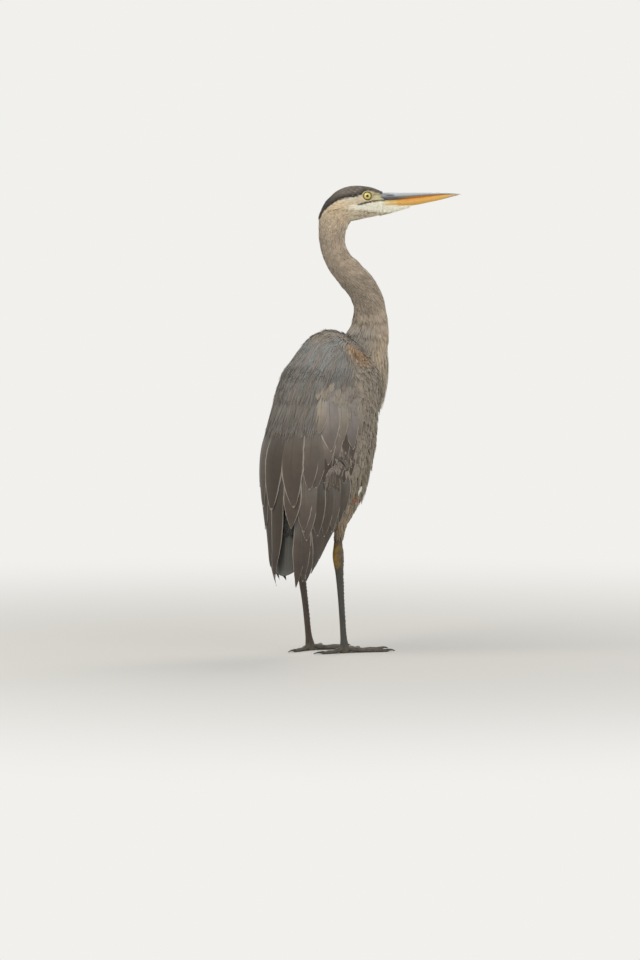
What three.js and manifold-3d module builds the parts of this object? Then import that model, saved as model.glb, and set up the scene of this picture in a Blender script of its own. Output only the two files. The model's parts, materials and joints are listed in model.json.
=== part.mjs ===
// An immature great blue heron, standing upright with its head turned to the right: a life-size still model.
// Millimetres. +X is the way the breast faces, +Y is the bird's left and +Z is up. The group is moved at the
// end so that its origin is on the floor under the middle of the bird's box. Forms are lofts: a ring of points
// carried along a line of stations.
import * as THREE from 'three';
import { mergeVertices } from 'three/addons/utils/BufferGeometryUtils.js';
import Module from 'manifold-3d';

const wasm = await Module();
wasm.setup();

// ---- Driving dimensions ----
const GAP = 0.3; // left between pieces that meet
const SHOULDER_TOP = 580; // height of the top of the back
const TRUNK_BOTTOM = 203; // height of the vent
const WING_TIP = 124; // height of the folded wings' tips
const WINGS_MEET = -17; // the left wing closes a little past the middle of the back
const TAIL_TIP = 142;
const HEAD_TURN = THREE.MathUtils.degToRad(-45); // the head looks to the bird's right
const EYES_AT = new THREE.Vector3(91, -12, 820); // the point midway between the eyes
const EYE_RADIUS = 8.5;
const EYE_OUT = 10.6; // each eye's centre from the head's middle plane
const STANCE = 80; // between the feet
const HEEL_HEIGHT = 178; // of the joint that bends backwards, halfway up the leg
const TOE_RADIUS = 4.3;
const SQUARENESS = 2.4; // exponent of the trunk's cross-sections: 2 is an ellipse

// ---- Shapes as rows of stations ----

// A smooth function through rows of [place, value, value, ...].
function smooth(rows) {
  const values = rows.flatMap((row) => row.slice(1));
  const curve = new THREE.CubicInterpolant(rows.map((row) => row[0]), values, rows[0].length - 1);
  return (place) => [...curve.evaluate(place)];
}

// Height, middle (along X), half width, half depth of the whole bird with its wings closed.
const CLOSED_BIRD = smooth([
  [95, -103, 15, 11],
  [117, -99, 24, 21],
  [160, -87, 40, 40],
  [200, -72, 53, 55],
  [240, -53, 66, 76],
  [280, -38, 76, 95],
  [328, -29, 84, 105],
  [370, -19, 88, 109],
  [410, -8, 88, 103],
  [450, 3, 88, 99],
  [480, 11, 87, 97],
  [510, 15, 84, 91],
  [535, 14, 78, 80],
  [560, 9, 71, 72],
  [590, 5, 65, 69],
]);

// Height, back, front and half width of the space inside the wings. The trunk fills its upper part.
const INSIDE_WINGS = smooth([
  [90, -110, -30, 9],
  [117, -109, -20, 15],
  [160, -116, 0, 29],
  [200, -118, 14, 42],
  [225, -120, 30, 49],
  [240, -121, 39, 54],
  [280, -122, 67, 64],
  [328, -123, 84, 72],
  [370, -118, 94, 76],
  [410, -103, 97, 77],
  [450, -87, 103, 76],
  [480, -76, 108, 75],
  [510, -68, 106, 72],
  [535, -60, 94, 66],
  [560, -56, 80, 60],
  [590, -56, 70, 56],
]);

// Centre, half width and half depth of the neck, from inside the breast up to the head.
const NECK = [
  [50, 0, 450, 50, 56],
  [84, -1, 518, 44, 49],
  [104, -3, 572, 34, 40],
  [104, -6, 604, 28.5, 33],
  [99, -6, 629, 26, 30],
  [89, 0, 653, 25, 28.5],
  [72, 14, 679, 24, 27],
  [57, 26, 702, 23, 24.5],
  [48, 32, 727, 22, 23.5],
  [46, 33, 753, 21, 25],
  [50, 29, 779, 20, 28],
  [64, 15, 801, 18, 25],
];
const NECK_LINE = new THREE.CatmullRomCurve3(NECK.map(([x, y, z]) => new THREE.Vector3(x, y, z)));
const NECK_SIZE = smooth(NECK.map(([, , , width, depth], i) => [i / (NECK.length - 1), width, depth]));

// Along the head from the eyes: distance forward, top, bottom, half width.
const HEAD = smooth([
  [-88, -26, -54, 12],
  [-80, -15, -54, 14.5],
  [-70, -4.5, -53, 16.5],
  [-58, 6.5, -51, 18.3],
  [-46, 13.2, -49, 19.2],
  [-34, 17, -47, 19.8],
  [-20, 18.4, -44.5, 19.6],
  [0, 16.8, -40, 17.6],
  [13, 13.8, -37.6, 15],
  [23, 9.6, -35.8, 12.6],
  [36, 4.4, -33.6, 10.2],
]);
const CHIN = smooth([
  [5, -8, -38.6, 11],
  [26, -10, -35.6, 9.8],
  [40, -11, -32.8, 8.6],
  [60, -11, -27.2, 6.2],
  [80, -10, -21, 4.2],
  [93, -11, -16, 2],
]);
const UPPER_BILL = smooth([
  [16, 5, -8, 10.5],
  [35, 5.6, -8.2, 9.4],
  [64, 5.7, -6, 7.4],
  [105, 5.8, -1.4, 5],
  [141, 5.2, 2.2, 3],
  [158, 4.2, 2.6, 1.8],
  [170, 3.2, 2.4, 0.8],
]);
const LOWER_BILL = smooth([
  [16, -8.6, -21, 10],
  [40, -8.4, -19.8, 8.6],
  [85, -4.1, -17.2, 6.4],
  [110, -1.5, -12.2, 4.8],
  [134, 0.9, -7, 3.4],
  [155, 2.2, -1.4, 1.9],
  [166, 2.5, 1.2, 0.8],
]);

// ---- Solids ----

function solid(geometry) {
  const bare = geometry.clone();
  bare.deleteAttribute('normal');
  bare.deleteAttribute('uv');
  const merged = mergeVertices(bare, 1e-4);
  return new wasm.Manifold(
    new wasm.Mesh({
      numProp: 3,
      vertProperties: merged.attributes.position.array,
      triVerts: new Uint32Array(merged.index.array),
    }),
  );
}

// A closed tube of `along` steps with `around` sides, whose every point is put in place by
// at(step from 0 to 1, angle, reach from 0 at the middle line to 1 at the surface).
function loft(around, along, at) {
  const geometry = new THREE.CylinderGeometry(1, 1, 1, around, along);
  const points = geometry.getAttribute('position');
  for (let i = 0; i < points.count; i++) {
    const reach = Math.hypot(points.getX(i), points.getZ(i));
    const angle = Math.atan2(points.getX(i), points.getZ(i));
    const place = at(points.getY(i) + 0.5, angle, reach);
    points.setXYZ(i, place.x, place.y, place.z);
  }
  return solid(geometry);
}

// A point of a superellipse: 2 gives an ellipse and more gives a squarer ring.
function onRing(angle, halfX, halfY, squareness) {
  const power = 2 / squareness;
  const bent = (value) => Math.sign(value) * Math.abs(value) ** power;
  return [halfX * bent(Math.cos(angle)), halfY * bent(Math.sin(angle))];
}

// How much a form has closed in, `past` along the last `length` of it.
const dome = (past, length) => Math.sqrt(Math.max(1 - (Math.max(past, 0) / length) ** 2, 0));

// Steps that crowd towards both ends, where a form rounds off.
const eased = (step) => (1 - Math.cos(Math.PI * step)) / 2;

function extruded(shape, depth) {
  return new THREE.ExtrudeGeometry(shape, { depth, bevelEnabled: false, curveSegments: 3 });
}

// The side view of a region, carried through the bird from the plane y = from to y = to.
function sideRegion(shape, from, to) {
  return solid(extruded(shape, to - from).rotateX(Math.PI / 2).translate(0, to, 0));
}

// Adds to a shape a row of rounded feather tips that runs to the point (x, z).
function featherTips(shape, x, z, count, depth) {
  const start = shape.currentPoint.clone();
  const end = new THREE.Vector2(x, z);
  const out = new THREE.Vector2().subVectors(end, start).normalize();
  out.set(-out.y, out.x);
  for (let i = 0; i < count; i++) {
    const tip = start.clone().lerp(end, (i + 0.62) / count).addScaledVector(out, depth * 2);
    const next = start.clone().lerp(end, (i + 1) / count);
    shape.quadraticCurveTo(tip.x, tip.y, next.x, next.y);
  }
}

// ---- Trunk, back and wings ----

const DOME_FROM = 468;

function closedBird(proud) {
  const bottom = 100;
  return loft(20, 12, (step, angle, reach) => {
    const z = bottom + (SHOULDER_TOP - bottom) * eased(step);
    const [middle, width, depth] = CLOSED_BIRD(z);
    const close = dome(z - DOME_FROM, SHOULDER_TOP + 0.5 - DOME_FROM);
    const [x, y] = onRing(angle, depth * close + proud, width * close + proud, SQUARENESS);
    return new THREE.Vector3(middle + x * reach, y * reach, z + proud * Math.min(step * 2, 1));
  });
}

// The space inside the wings, open all the way down, or the trunk, which closes at the vent. They share their
// upper rings, so they share a surface.
const UPPER_RINGS = [252, 285, 322, 362, 402, 440, 474, 506, 534, 556, 570, 574];
const VENT_RINGS = [TRUNK_BOTTOM, TRUNK_BOTTOM + 3, TRUNK_BOTTOM + 12, TRUNK_BOTTOM + 27];
const TIP_RINGS = [95, 130, 165, 208];

function insideWings(lowerRings, spare = 0) {
  const heights = [...lowerRings, ...UPPER_RINGS];
  const vent = lowerRings === VENT_RINGS;
  return loft(18, heights.length - 1, (step, angle, reach) => {
    const z = heights[Math.round(step * (heights.length - 1))];
    const [back, front, width] = INSIDE_WINGS(z);
    const close = dome(z - DOME_FROM, 574.5 - DOME_FROM) * (vent ? dome(252 - z, 252.5 - TRUNK_BOTTOM) : 1);
    const middle = (back + front) / 2 - (vent && z < 252 ? 12 * (1 - close) : 0);
    const [x, y] = onRing(angle, ((front - back) / 2) * close - spare, width * close - spare, SQUARENESS);
    return new THREE.Vector3(middle + x * reach, y * reach, z - spare * Math.sign(z - 400));
  });
}

// Side views, in millimetres forward and up.
function mantleShape(drop = 0) {
  const shape = new THREE.Shape();
  shape.moveTo(-190, 620);
  shape.lineTo(-190, 384 - drop);
  shape.lineTo(-146, 384 - drop);
  featherTips(shape, 34, 520 - drop, 6, 9);
  shape.quadraticCurveTo(48, 540 - drop, 46, 566);
  shape.lineTo(46, 620);
  return shape;
}

function wingShape(ahead = 0) {
  const shape = new THREE.Shape();
  shape.moveTo(-190, 600);
  shape.lineTo(-190, 80);
  shape.lineTo(-107 + ahead, WING_TIP - 4 - ahead);
  shape.quadraticCurveTo(-82 + ahead, WING_TIP + 2 - ahead, -60 + ahead, 155);
  shape.lineTo(-38 + ahead, 200);
  shape.splineThru([
    [-30, 248],
    [-14, 302],
    [10, 345],
    [32, 390],
    [46, 440],
    [52, 500],
    [60, 545],
  ].map(([x, z]) => new THREE.Vector2(x + ahead, z)));
  shape.lineTo(40, 600);
  return shape;
}

function covertShape(drop = 0) {
  const shape = new THREE.Shape();
  shape.moveTo(-190, 600);
  shape.lineTo(-190, 262 - drop);
  shape.lineTo(-140, 262 - drop);
  featherTips(shape, 6, 338 - drop, 6, 9);
  shape.lineTo(120, 338 - drop);
  shape.lineTo(120, 600);
  return shape;
}

function primaryShape(shift = 0) {
  const shape = new THREE.Shape();
  shape.moveTo(-52 - shift, 360);
  shape.lineTo(-56 - shift, 250);
  featherTips(shape, -96 - shift, 60, 1, -4);
  shape.lineTo(60, 60);
  shape.lineTo(60, 360);
  return shape;
}

// The space between the wings, seen from behind: a slot where they meet over the back that opens over the
// tail and closes again at the tips.
function betweenWings() {
  const shape = new THREE.Shape();
  shape.moveTo(WINGS_MEET - GAP, 600);
  const rightWing = [[GAP, 290], [8, 241], [15, 208], [21, 180], [19, 162], [8, 138], [0, 100]];
  for (const [out, z] of rightWing) shape.lineTo(WINGS_MEET - out, z);
  const leftWing = [[22, 100], [25, 150], [23, 192], [14, 237], [9, 262], [GAP, 290], [GAP, 600]];
  for (const [out, z] of leftWing) shape.lineTo(WINGS_MEET + out, z);
  return solid(extruded(shape, 400).rotateX(Math.PI / 2).rotateZ(Math.PI / 2).translate(-200, 0, 0));
}

const trunkWithGap = insideWings(VENT_RINGS);
const hollow = insideWings(TIP_RINGS).add(trunkWithGap);
const gapBetweenWings = betweenWings();
const mantle = closedBird(1.5).intersect(sideRegion(mantleShape(), -150, 150)).subtract(hollow);
const mantleRoom = sideRegion(mantleShape(0.5), -150, 150);
const wingRoom = closedBird(1.8)
  .intersect(sideRegion(wingShape(0.5), -150, 150))
  .subtract(insideWings(TIP_RINGS, GAP));

function wing(side) {
  const [from, to] = side > 0 ? [WINGS_MEET, 150] : [-150, WINGS_MEET];
  const half = (shape) => sideRegion(shape, from, to);
  const cut = (proud) =>
    closedBird(proud)
      .intersect(half(wingShape()))
      .subtract(hollow)
      .subtract(gapBetweenWings)
      .subtract(mantleRoom);
  const flight = cut(-1.8).subtract(half(covertShape(0.5)));
  return {
    coverts: cut(0).intersect(half(covertShape())),
    secondaries: flight.subtract(half(primaryShape(0.5))),
    primaries: flight.intersect(half(primaryShape())),
  };
}

// Six pairs of tail feathers, closed into one blade.
function tailBlade(grow) {
  const halfWidth = 31 + grow;
  const shape = new THREE.Shape();
  shape.moveTo(-halfWidth * 0.62, 300);
  shape.lineTo(-halfWidth, TAIL_TIP + 12);
  featherTips(shape, 0, TAIL_TIP + 2, 3, -5);
  featherTips(shape, halfWidth, TAIL_TIP + 12, 3, -5);
  shape.lineTo(halfWidth * 0.62, 300);
  const blade = extruded(shape, 9 + 2 * grow).rotateX(Math.PI / 2).rotateZ(Math.PI / 2);
  return solid(blade.translate(-116 - grow, 0, 0));
}
const tail = tailBlade(0).intersect(insideWings(TIP_RINGS, GAP));
const trunk = insideWings(VENT_RINGS, GAP).subtract(tailBlade(GAP));

// ---- Neck ----

// A length of the neck from one share of its line to another.
function neckLength(from, to, grow, along) {
  return loft(14, along, (step, angle, reach) => {
    const share = from + (to - from) * step;
    const [width, depth] = NECK_SIZE(share);
    const ahead = NECK_LINE.getTangent(share);
    const turn = HEAD_TURN * THREE.MathUtils.smoothstep(share, 0.15, 0.95);
    const left = new THREE.Vector3(-Math.sin(turn), Math.cos(turn), 0);
    left.addScaledVector(ahead, -left.dot(ahead)).normalize();
    const throat = new THREE.Vector3().crossVectors(left, ahead);
    return NECK_LINE.getPoint(share)
      .addScaledVector(throat, (depth + grow) * Math.cos(angle) * reach)
      .addScaledVector(left, (width + grow) * Math.sin(angle) * reach);
  });
}

// ---- Head and bill ----

const headFrame = new THREE.Matrix4().makeRotationZ(HEAD_TURN).setPosition(EYES_AT);
const inHead = (x, y, z) => new THREE.Vector3(x, y, z).applyMatrix4(headFrame);

// A form along the head: squareness over 2 flattens its sides.
function headLoft(size, from, to, { around, along, grow = 0, closeBack = 0, closeFront = 0, squareness = 2 }) {
  return loft(around, along, (step, angle, reach) => {
    const x = from + (to - from) * eased(step);
    const [top, bottom, width] = size(x);
    const close =
      (closeBack ? dome(from + closeBack - x, closeBack + 0.1) : 1) *
      (closeFront ? dome(x - to + closeFront, closeFront + 0.1) : 1);
    const [z, y] = onRing(angle, ((top - bottom) / 2) * close + grow, width * close + grow, squareness);
    return inHead(x, -y * reach, (top + bottom) / 2 + z * reach);
  });
}

const headForm = (grow) =>
  headLoft(HEAD, -88 - grow, 35 + grow, { grow, closeBack: 17, closeFront: 9, around: 16, along: 11 }).add(
    headLoft(CHIN, 5, 93 + grow, { grow, closeFront: 10, around: 10, along: 6 }),
  );

function eyeBall(side, grow) {
  const ball = new THREE.SphereGeometry(EYE_RADIUS + grow, 12, 8);
  const { x, y, z } = inHead(0, side * EYE_OUT, 0);
  return solid(ball.translate(x, y, z));
}

const head = headForm(0).subtract(eyeBall(1, GAP)).subtract(eyeBall(-1, GAP));
const headWithGap = headForm(GAP);

// ---- Legs and feet ----

const FLOOR = solid(new THREE.BoxGeometry(1000, 1000, 200).translate(0, 0, -100));

// A round limb through rows of [x, y, z, radius across, radius fore and aft].
function limb(rows, around, along, grow = 0) {
  const line = new THREE.CatmullRomCurve3(rows.map(([x, y, z]) => new THREE.Vector3(x, y, z)));
  const size = smooth(rows.map(([, , , across, deep], i) => [i / (rows.length - 1), across, deep]));
  return loft(around, along, (step, angle, reach) => {
    const [across, deep] = size(step);
    const ahead = line.getTangent(step);
    const sideways = new THREE.Vector3(-ahead.y, ahead.x, 0);
    if (Math.abs(ahead.z) > 0.7) sideways.set(0, 1, 0);
    sideways.addScaledVector(ahead, -sideways.dot(ahead)).normalize();
    const over = new THREE.Vector3().crossVectors(sideways, ahead);
    return line
      .getPoint(step)
      .addScaledVector(sideways, (across + grow) * Math.sin(angle) * reach)
      .addScaledVector(over, (deep + grow) * Math.cos(angle) * reach);
  });
}

// Each toe: its angle from straight ahead (outwards is positive), its length and its claw's length.
const TOES = {
  inner: [-26, 74, 15],
  middle: [2, 92, 16],
  outer: [31, 80, 14],
  hind: [190, 46, 21],
};

function toeRows(foot, outward, [degrees, length]) {
  const angle = THREE.MathUtils.degToRad(degrees) * outward;
  const knuckles = [0, 0.22, 0.45, 0.68, 0.86, 1];
  return knuckles.map((share, i) => {
    const reach = 4 + (length - 4) * share;
    const taper = 1 - 0.3 * share;
    const swell = i % 2 ? 1.1 : 0.96;
    const radius = TOE_RADIUS * taper * swell;
    return [
      foot.x + Math.cos(angle) * reach,
      foot.y + Math.sin(angle) * reach,
      radius * (0.78 + 1.1 * (1 - share) ** 4),
      radius * 1.04,
      radius,
    ];
  });
}

function clawRows(rows, length) {
  const [x1, y1] = rows.at(-2);
  const [x2, y2, z2] = rows.at(-1);
  const reach = Math.hypot(x2 - x1, y2 - y1);
  const [ux, uy] = [(x2 - x1) / reach, (y2 - y1) / reach];
  return [-0.1, 0.3, 0.7, 1].map((share) => [
    x2 + ux * length * share,
    y2 + uy * length * share,
    z2 + 0.4 + 1.4 * Math.sin(Math.PI * share) - 1.1 * share,
    2.3 * (1 - 0.72 * share),
    2.7 * (1 - 0.72 * share),
  ]);
}

// side is +1 for the left leg and -1 for the right one. The heel is the joint where the leg bends back.
function leg(side, footX, heelX) {
  const y = (side * STANCE) / 2;
  const foot = new THREE.Vector3(footX, y, 0);
  const heelZ = HEEL_HEIGHT;
  const shinRows = [
    [heelX - 1, y + side, heelZ + 34, 6.2, 6.6],
    [heelX - 2, y + side, heelZ + 14, 7.8, 9],
    [heelX - 2, y + side, heelZ - 4, 8.8, 10.6],
    [heelX * 0.84 + footX * 0.16 - 1, y + side, heelZ * 0.8, 6, 7.8],
    [(heelX + footX) / 2, y, heelZ / 2, 4.8, 6.2],
    [heelX * 0.14 + footX * 0.86, y, heelZ * 0.16, 5, 6.4],
    [footX, y, 8, 7.6, 9],
    [footX, y, -3, 7.8, 9.4],
  ];
  const shin = (grow) => limb(shinRows, 10, 12, grow).subtract(FLOOR);
  const thighRows = [
    [heelX + 36, y * 0.86, 312, 20, 26],
    [heelX + 28, y * 0.92, 284, 21, 26],
    [heelX + 16, y * 0.97, 258, 18, 20],
    [heelX + 8, y, 239, 12.6, 13.6],
    [heelX + 2, y + side, 222, 9.8, 10.8],
    [heelX - 1, y + side, heelZ + 26, 8.4, 9.4],
  ];
  const pieces = { shin: shin(0) };
  pieces.thigh = limb(thighRows, 12, 7).subtract(shin(GAP)).subtract(trunkWithGap).subtract(wingRoom);
  let taken = shin(GAP);
  for (const [name, toe] of Object.entries(TOES)) {
    const rows = toeRows(foot, side, toe);
    pieces[`toe_${name}`] = limb(rows, 7, 6).subtract(taken).subtract(FLOOR);
    const withGap = limb(rows, 7, 6, GAP);
    pieces[`claw_${name}`] = limb(clawRows(rows, toe[2]), 6, 3).subtract(withGap);
    taken = taken.add(withGap);
  }
  return pieces;
}

// ---- Breast plumes ----

// Height, middle (along X), half width and half depth of the long feathers at the foot of the neck.
const PLUMES = smooth([
  [406, 98, 20, 14],
  [428, 102, 31, 19],
  [450, 102, 36, 26],
  [478, 100, 42, 38],
  [524, 97, 45, 44],
  [545, 101, 40, 40],
  [580, 104, 28, 34],
]);

function plumeTips() {
  const shape = new THREE.Shape();
  shape.moveTo(60, 600);
  shape.lineTo(-60, 600);
  shape.lineTo(-60, 486);
  const tips = [[-37, 447], [-33, 462], [-20, 420], [-14, 440], [0, 408], [13, 441], [22, 426], [32, 464]];
  for (const [y, z] of tips) shape.lineTo(y, z);
  shape.lineTo(60, 486);
  return solid(extruded(shape, 160).rotateX(Math.PI / 2).rotateZ(Math.PI / 2).translate(40, 0, 0));
}

function plumeBib() {
  return loft(14, 7, (step, angle, reach) => {
    const z = 406 + 174 * step;
    const [middle, width, depth] = PLUMES(z);
    const [x, y] = onRing(angle, depth, width, 2);
    return new THREE.Vector3(middle + x * reach, y * reach, z);
  });
}

// ---- The bird ----

const bird = new THREE.Group();
const PAINT = {
  plumage_blue_grey: { color: 0x77746c, roughness: 0.85 },
  plumage_taupe: { color: 0x8f806b, roughness: 0.88 },
  plumage_dark: { color: 0x47443f, roughness: 0.8 },
  plumage_buff: { color: 0x93806a, roughness: 0.88 },
  bill_slate: { color: 0x7d8078, roughness: 0.35 },
  bill_yellow: { color: 0xc8994e, roughness: 0.4 },
  leg_scale: { color: 0x4f473a, roughness: 0.6 },
  claw_horn: { color: 0x2c2824, roughness: 0.4 },
  eye: { color: 0xd8c05a, roughness: 0.05 },
};
const paint = {};
for (const [name, look] of Object.entries(PAINT)) paint[name] = new THREE.MeshStandardMaterial(look);

function show(name, manifold, material) {
  const { numProp, vertProperties, triVerts } = biggest(manifold).getMesh();
  const geometry = new THREE.BufferGeometry();
  geometry.setAttribute('position', new THREE.BufferAttribute(new Float32Array(vertProperties), numProp));
  geometry.setIndex(new THREE.BufferAttribute(new Uint32Array(triVerts), 1));
  const flat = geometry.toNonIndexed();
  flat.computeVertexNormals();
  const mesh = new THREE.Mesh(flat, paint[material]);
  mesh.name = name;
  bird.add(mesh);
}

// A cut can leave slivers beside the piece itself.
function biggest(manifold) {
  return manifold.decompose().sort((a, b) => b.volume() - a.volume())[0];
}

show('trunk', trunk, 'plumage_buff');
show('mantle', mantle, 'plumage_blue_grey');
show('tail', tail, 'plumage_dark');

for (const [sideName, side] of [['left', 1], ['right', -1]]) {
  const { coverts, secondaries, primaries } = wing(side);
  show(`wing_${sideName}_coverts`, coverts, 'plumage_blue_grey');
  show(`wing_${sideName}_secondaries`, secondaries, 'plumage_taupe');
  show(`wing_${sideName}_primaries`, primaries, 'plumage_dark');
}

const neckRoom = neckLength(0, 0.36, GAP, 9);
const plumes = plumeBib().intersect(plumeTips()).subtract(trunkWithGap).subtract(neckRoom).subtract(wingRoom);
show('breast_plumes', plumes, 'plumage_buff');
const lowerNeck = neckLength(0, 0.36, 0, 9).subtract(trunkWithGap).subtract(closedBird(1.8));
show('neck_lower', lowerNeck, 'plumage_taupe');
show('neck_middle', neckLength(0.3625, 0.62, 0, 7), 'plumage_taupe');
show('neck_upper', neckLength(0.6225, 0.97, 0, 8).subtract(headWithGap), 'plumage_taupe');
show('head', head, 'plumage_taupe');

const bill = { closeFront: 6, squareness: 1.8, around: 10, along: 8 };
show('bill_upper', headLoft(UPPER_BILL, 16, 170, bill).subtract(headWithGap), 'bill_slate');
show('bill_lower', headLoft(LOWER_BILL, 16, 166, bill).subtract(headWithGap), 'bill_yellow');
show('eye_left', eyeBall(1, 0), 'eye');
show('eye_right', eyeBall(-1, 0), 'eye');

for (const [sideName, pieces] of [['left', leg(1, -4, -28)], ['right', leg(-1, 4, -11)]]) {
  for (const [name, piece] of Object.entries(pieces)) {
    const material = name.startsWith('claw') ? 'claw_horn' : name === 'thigh' ? 'plumage_buff' : 'leg_scale';
    show(`${name}_${sideName}`, piece, material);
  }
}

// The box's middle stands over the origin, and its underside lies on the floor.
const box = new THREE.Box3().setFromObject(bird);
bird.position.set(-(box.min.x + box.max.x) / 2, -(box.min.y + box.max.y) / 2, -box.min.z);

export default bird;
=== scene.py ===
"""An immature great blue heron, life size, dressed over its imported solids.

The bird stands upright with its wings closed and its head turned to its right. One skin fills the solids of
its flesh to the depth of the plumage. Feathers, plumes and leg scales are solid vanes set on that skin, and the
bill, eyes and claws are pieces of their own. Forms are worked out in millimetres in the bird's own frame: +X is
the way the breast faces, +Y is the bird's left, +Z is up, and the origin is on the floor between the feet.
"""

from __future__ import annotations

import json
import logging
import math
from dataclasses import dataclass, replace
from enum import Enum
from typing import Callable, Sequence

import bpy
import numpy as np
from mathutils import Matrix, Vector
from mathutils.kdtree import KDTree

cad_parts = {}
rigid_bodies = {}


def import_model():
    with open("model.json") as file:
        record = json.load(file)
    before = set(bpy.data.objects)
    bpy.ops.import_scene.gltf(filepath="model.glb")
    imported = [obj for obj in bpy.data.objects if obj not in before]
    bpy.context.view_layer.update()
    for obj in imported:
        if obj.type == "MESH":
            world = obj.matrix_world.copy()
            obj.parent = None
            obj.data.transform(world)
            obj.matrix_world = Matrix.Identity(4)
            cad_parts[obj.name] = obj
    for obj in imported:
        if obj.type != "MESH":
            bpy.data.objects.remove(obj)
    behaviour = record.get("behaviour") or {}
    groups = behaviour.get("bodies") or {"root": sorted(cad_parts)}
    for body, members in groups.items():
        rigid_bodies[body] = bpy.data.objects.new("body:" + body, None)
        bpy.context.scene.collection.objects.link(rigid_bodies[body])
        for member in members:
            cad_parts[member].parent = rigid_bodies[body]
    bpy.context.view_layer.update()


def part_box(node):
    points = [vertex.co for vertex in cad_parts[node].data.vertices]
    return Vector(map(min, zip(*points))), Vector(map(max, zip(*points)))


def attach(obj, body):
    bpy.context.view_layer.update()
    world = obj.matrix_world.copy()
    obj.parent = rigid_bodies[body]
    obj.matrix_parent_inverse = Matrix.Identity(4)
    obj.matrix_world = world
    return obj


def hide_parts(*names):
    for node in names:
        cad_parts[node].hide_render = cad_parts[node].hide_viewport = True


LOG = logging.getLogger("heron")
Array = np.ndarray
Faces = list[list[int]]
Socket = bpy.types.NodeSocket
Object = bpy.types.Object
Material = bpy.types.Material
SIDES = {"left": 1, "right": -1}
TURN = 2 * math.pi
PATCH = 0.003
"""The size of a feather's own patch on the map OFBake."""


# ---------------------------------------------------------------- numbers and curves


def linear(code: str) -> Array:
    """Turns an sRGB hex colour, such as "#8f8a80", into linear red, green and blue."""
    parts = [int(code[i : i + 2], 16) / 255 for i in (1, 3, 5)]
    return np.array([p / 12.92 if p <= 0.04045 else ((p + 0.055) / 1.055) ** 2.4 for p in parts])


def ease(low: float, high: float, value: Array) -> Array:
    """Goes smoothly from 0 where value is low to 1 where it is high."""
    t = np.clip((value - low) / (high - low), 0, 1)
    return t * t * (3 - 2 * t)


def unit(vectors: Array) -> Array:
    """Scales vectors to length one."""
    return vectors / np.maximum(np.linalg.norm(vectors, axis=-1, keepdims=True), 1e-9)


def square_to(way: Array, axis: Array) -> Array:
    """Takes from directions their share along an axis and scales what is left to length one."""
    return unit(way - axis * np.sum(way * axis, -1, keepdims=True))


def stack(*columns: Array | float) -> Array:
    """Puts numbers side by side as the last axis of one array."""
    return np.stack(np.broadcast_arrays(*columns), -1)


def lattice(first: Array, second: Array) -> tuple[Array, Array]:
    """Pairs every value of one list with every value of another, as two grids."""
    return np.meshgrid(first, second, indexing="ij")


def circle(count: int) -> Array:
    """Returns angles spread evenly round a circle."""
    return np.linspace(0, TURN, count, endpoint=False)


def ripple(points: Array, size: float, seed: int) -> Array:
    """A soft random field through space, from about -1 to 1.

    Args:
        points: places in millimetres, one a row.
        size: the width of its blotches in millimetres.
        seed: picks the field.

    Returns:
        One value a point.
    """
    rng = np.random.default_rng(seed)
    total = np.zeros(points.shape[:-1])
    for octave in range(3):
        for _ in range(3):
            way = rng.normal(size=3)
            way /= np.linalg.norm(way)
            total += np.sin(points @ way * (TURN * 2**octave / size) + rng.uniform(0, 6.3)) / 1.6**octave
    return np.clip(total / 3.2, -1, 1)


class Stations:
    """A smooth function through rows of a place and its values."""

    def __init__(self, rows: Sequence[Sequence[float]]) -> None:
        """Keeps the rows, which are in order of place."""
        table = np.asarray(rows, float)
        self.places, self.values = table[:, 0], table[:, 1:]

    def __call__(self, place: Array | float) -> Array:
        """Evaluates the function.

        Args:
            place: where, of any shape. Past the ends it takes the end values.

        Returns:
            The values, along a new last axis.
        """
        at, rows, count = self.places, self.values, len(self.places)
        place = np.clip(np.asarray(place, float), at[0], at[-1])
        i = np.clip(np.searchsorted(at, place, side="right"), 1, count - 1)
        before = np.where(i - 2 >= 0, i - 2, i)
        after = np.where(i + 1 < count, i + 1, i - 1)
        t0, t1 = at[i - 1], at[i]
        half = (t1 - t0) / 2
        w0, w1 = half / (t0 - at[before]), half / (at[after] - t1)
        p = (place - t0) / (t1 - t0)
        weights = (
            -w0 * p**3 + 2 * w0 * p**2 - w0 * p,
            (1 + w0) * p**3 + (-1.5 - 2 * w0) * p**2 + (w0 - 0.5) * p + 1,
            (-1 - w1) * p**3 + (1.5 + w1) * p**2 + 0.5 * p,
            w1 * p**3 - w1 * p**2,
        )
        return sum(w[..., None] * rows[k] for w, k in zip(weights, (before, i - 1, i, after)))

    def first(self, place: Array | float) -> Array:
        """Evaluates the first value alone."""
        return self(place)[..., 0]


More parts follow.
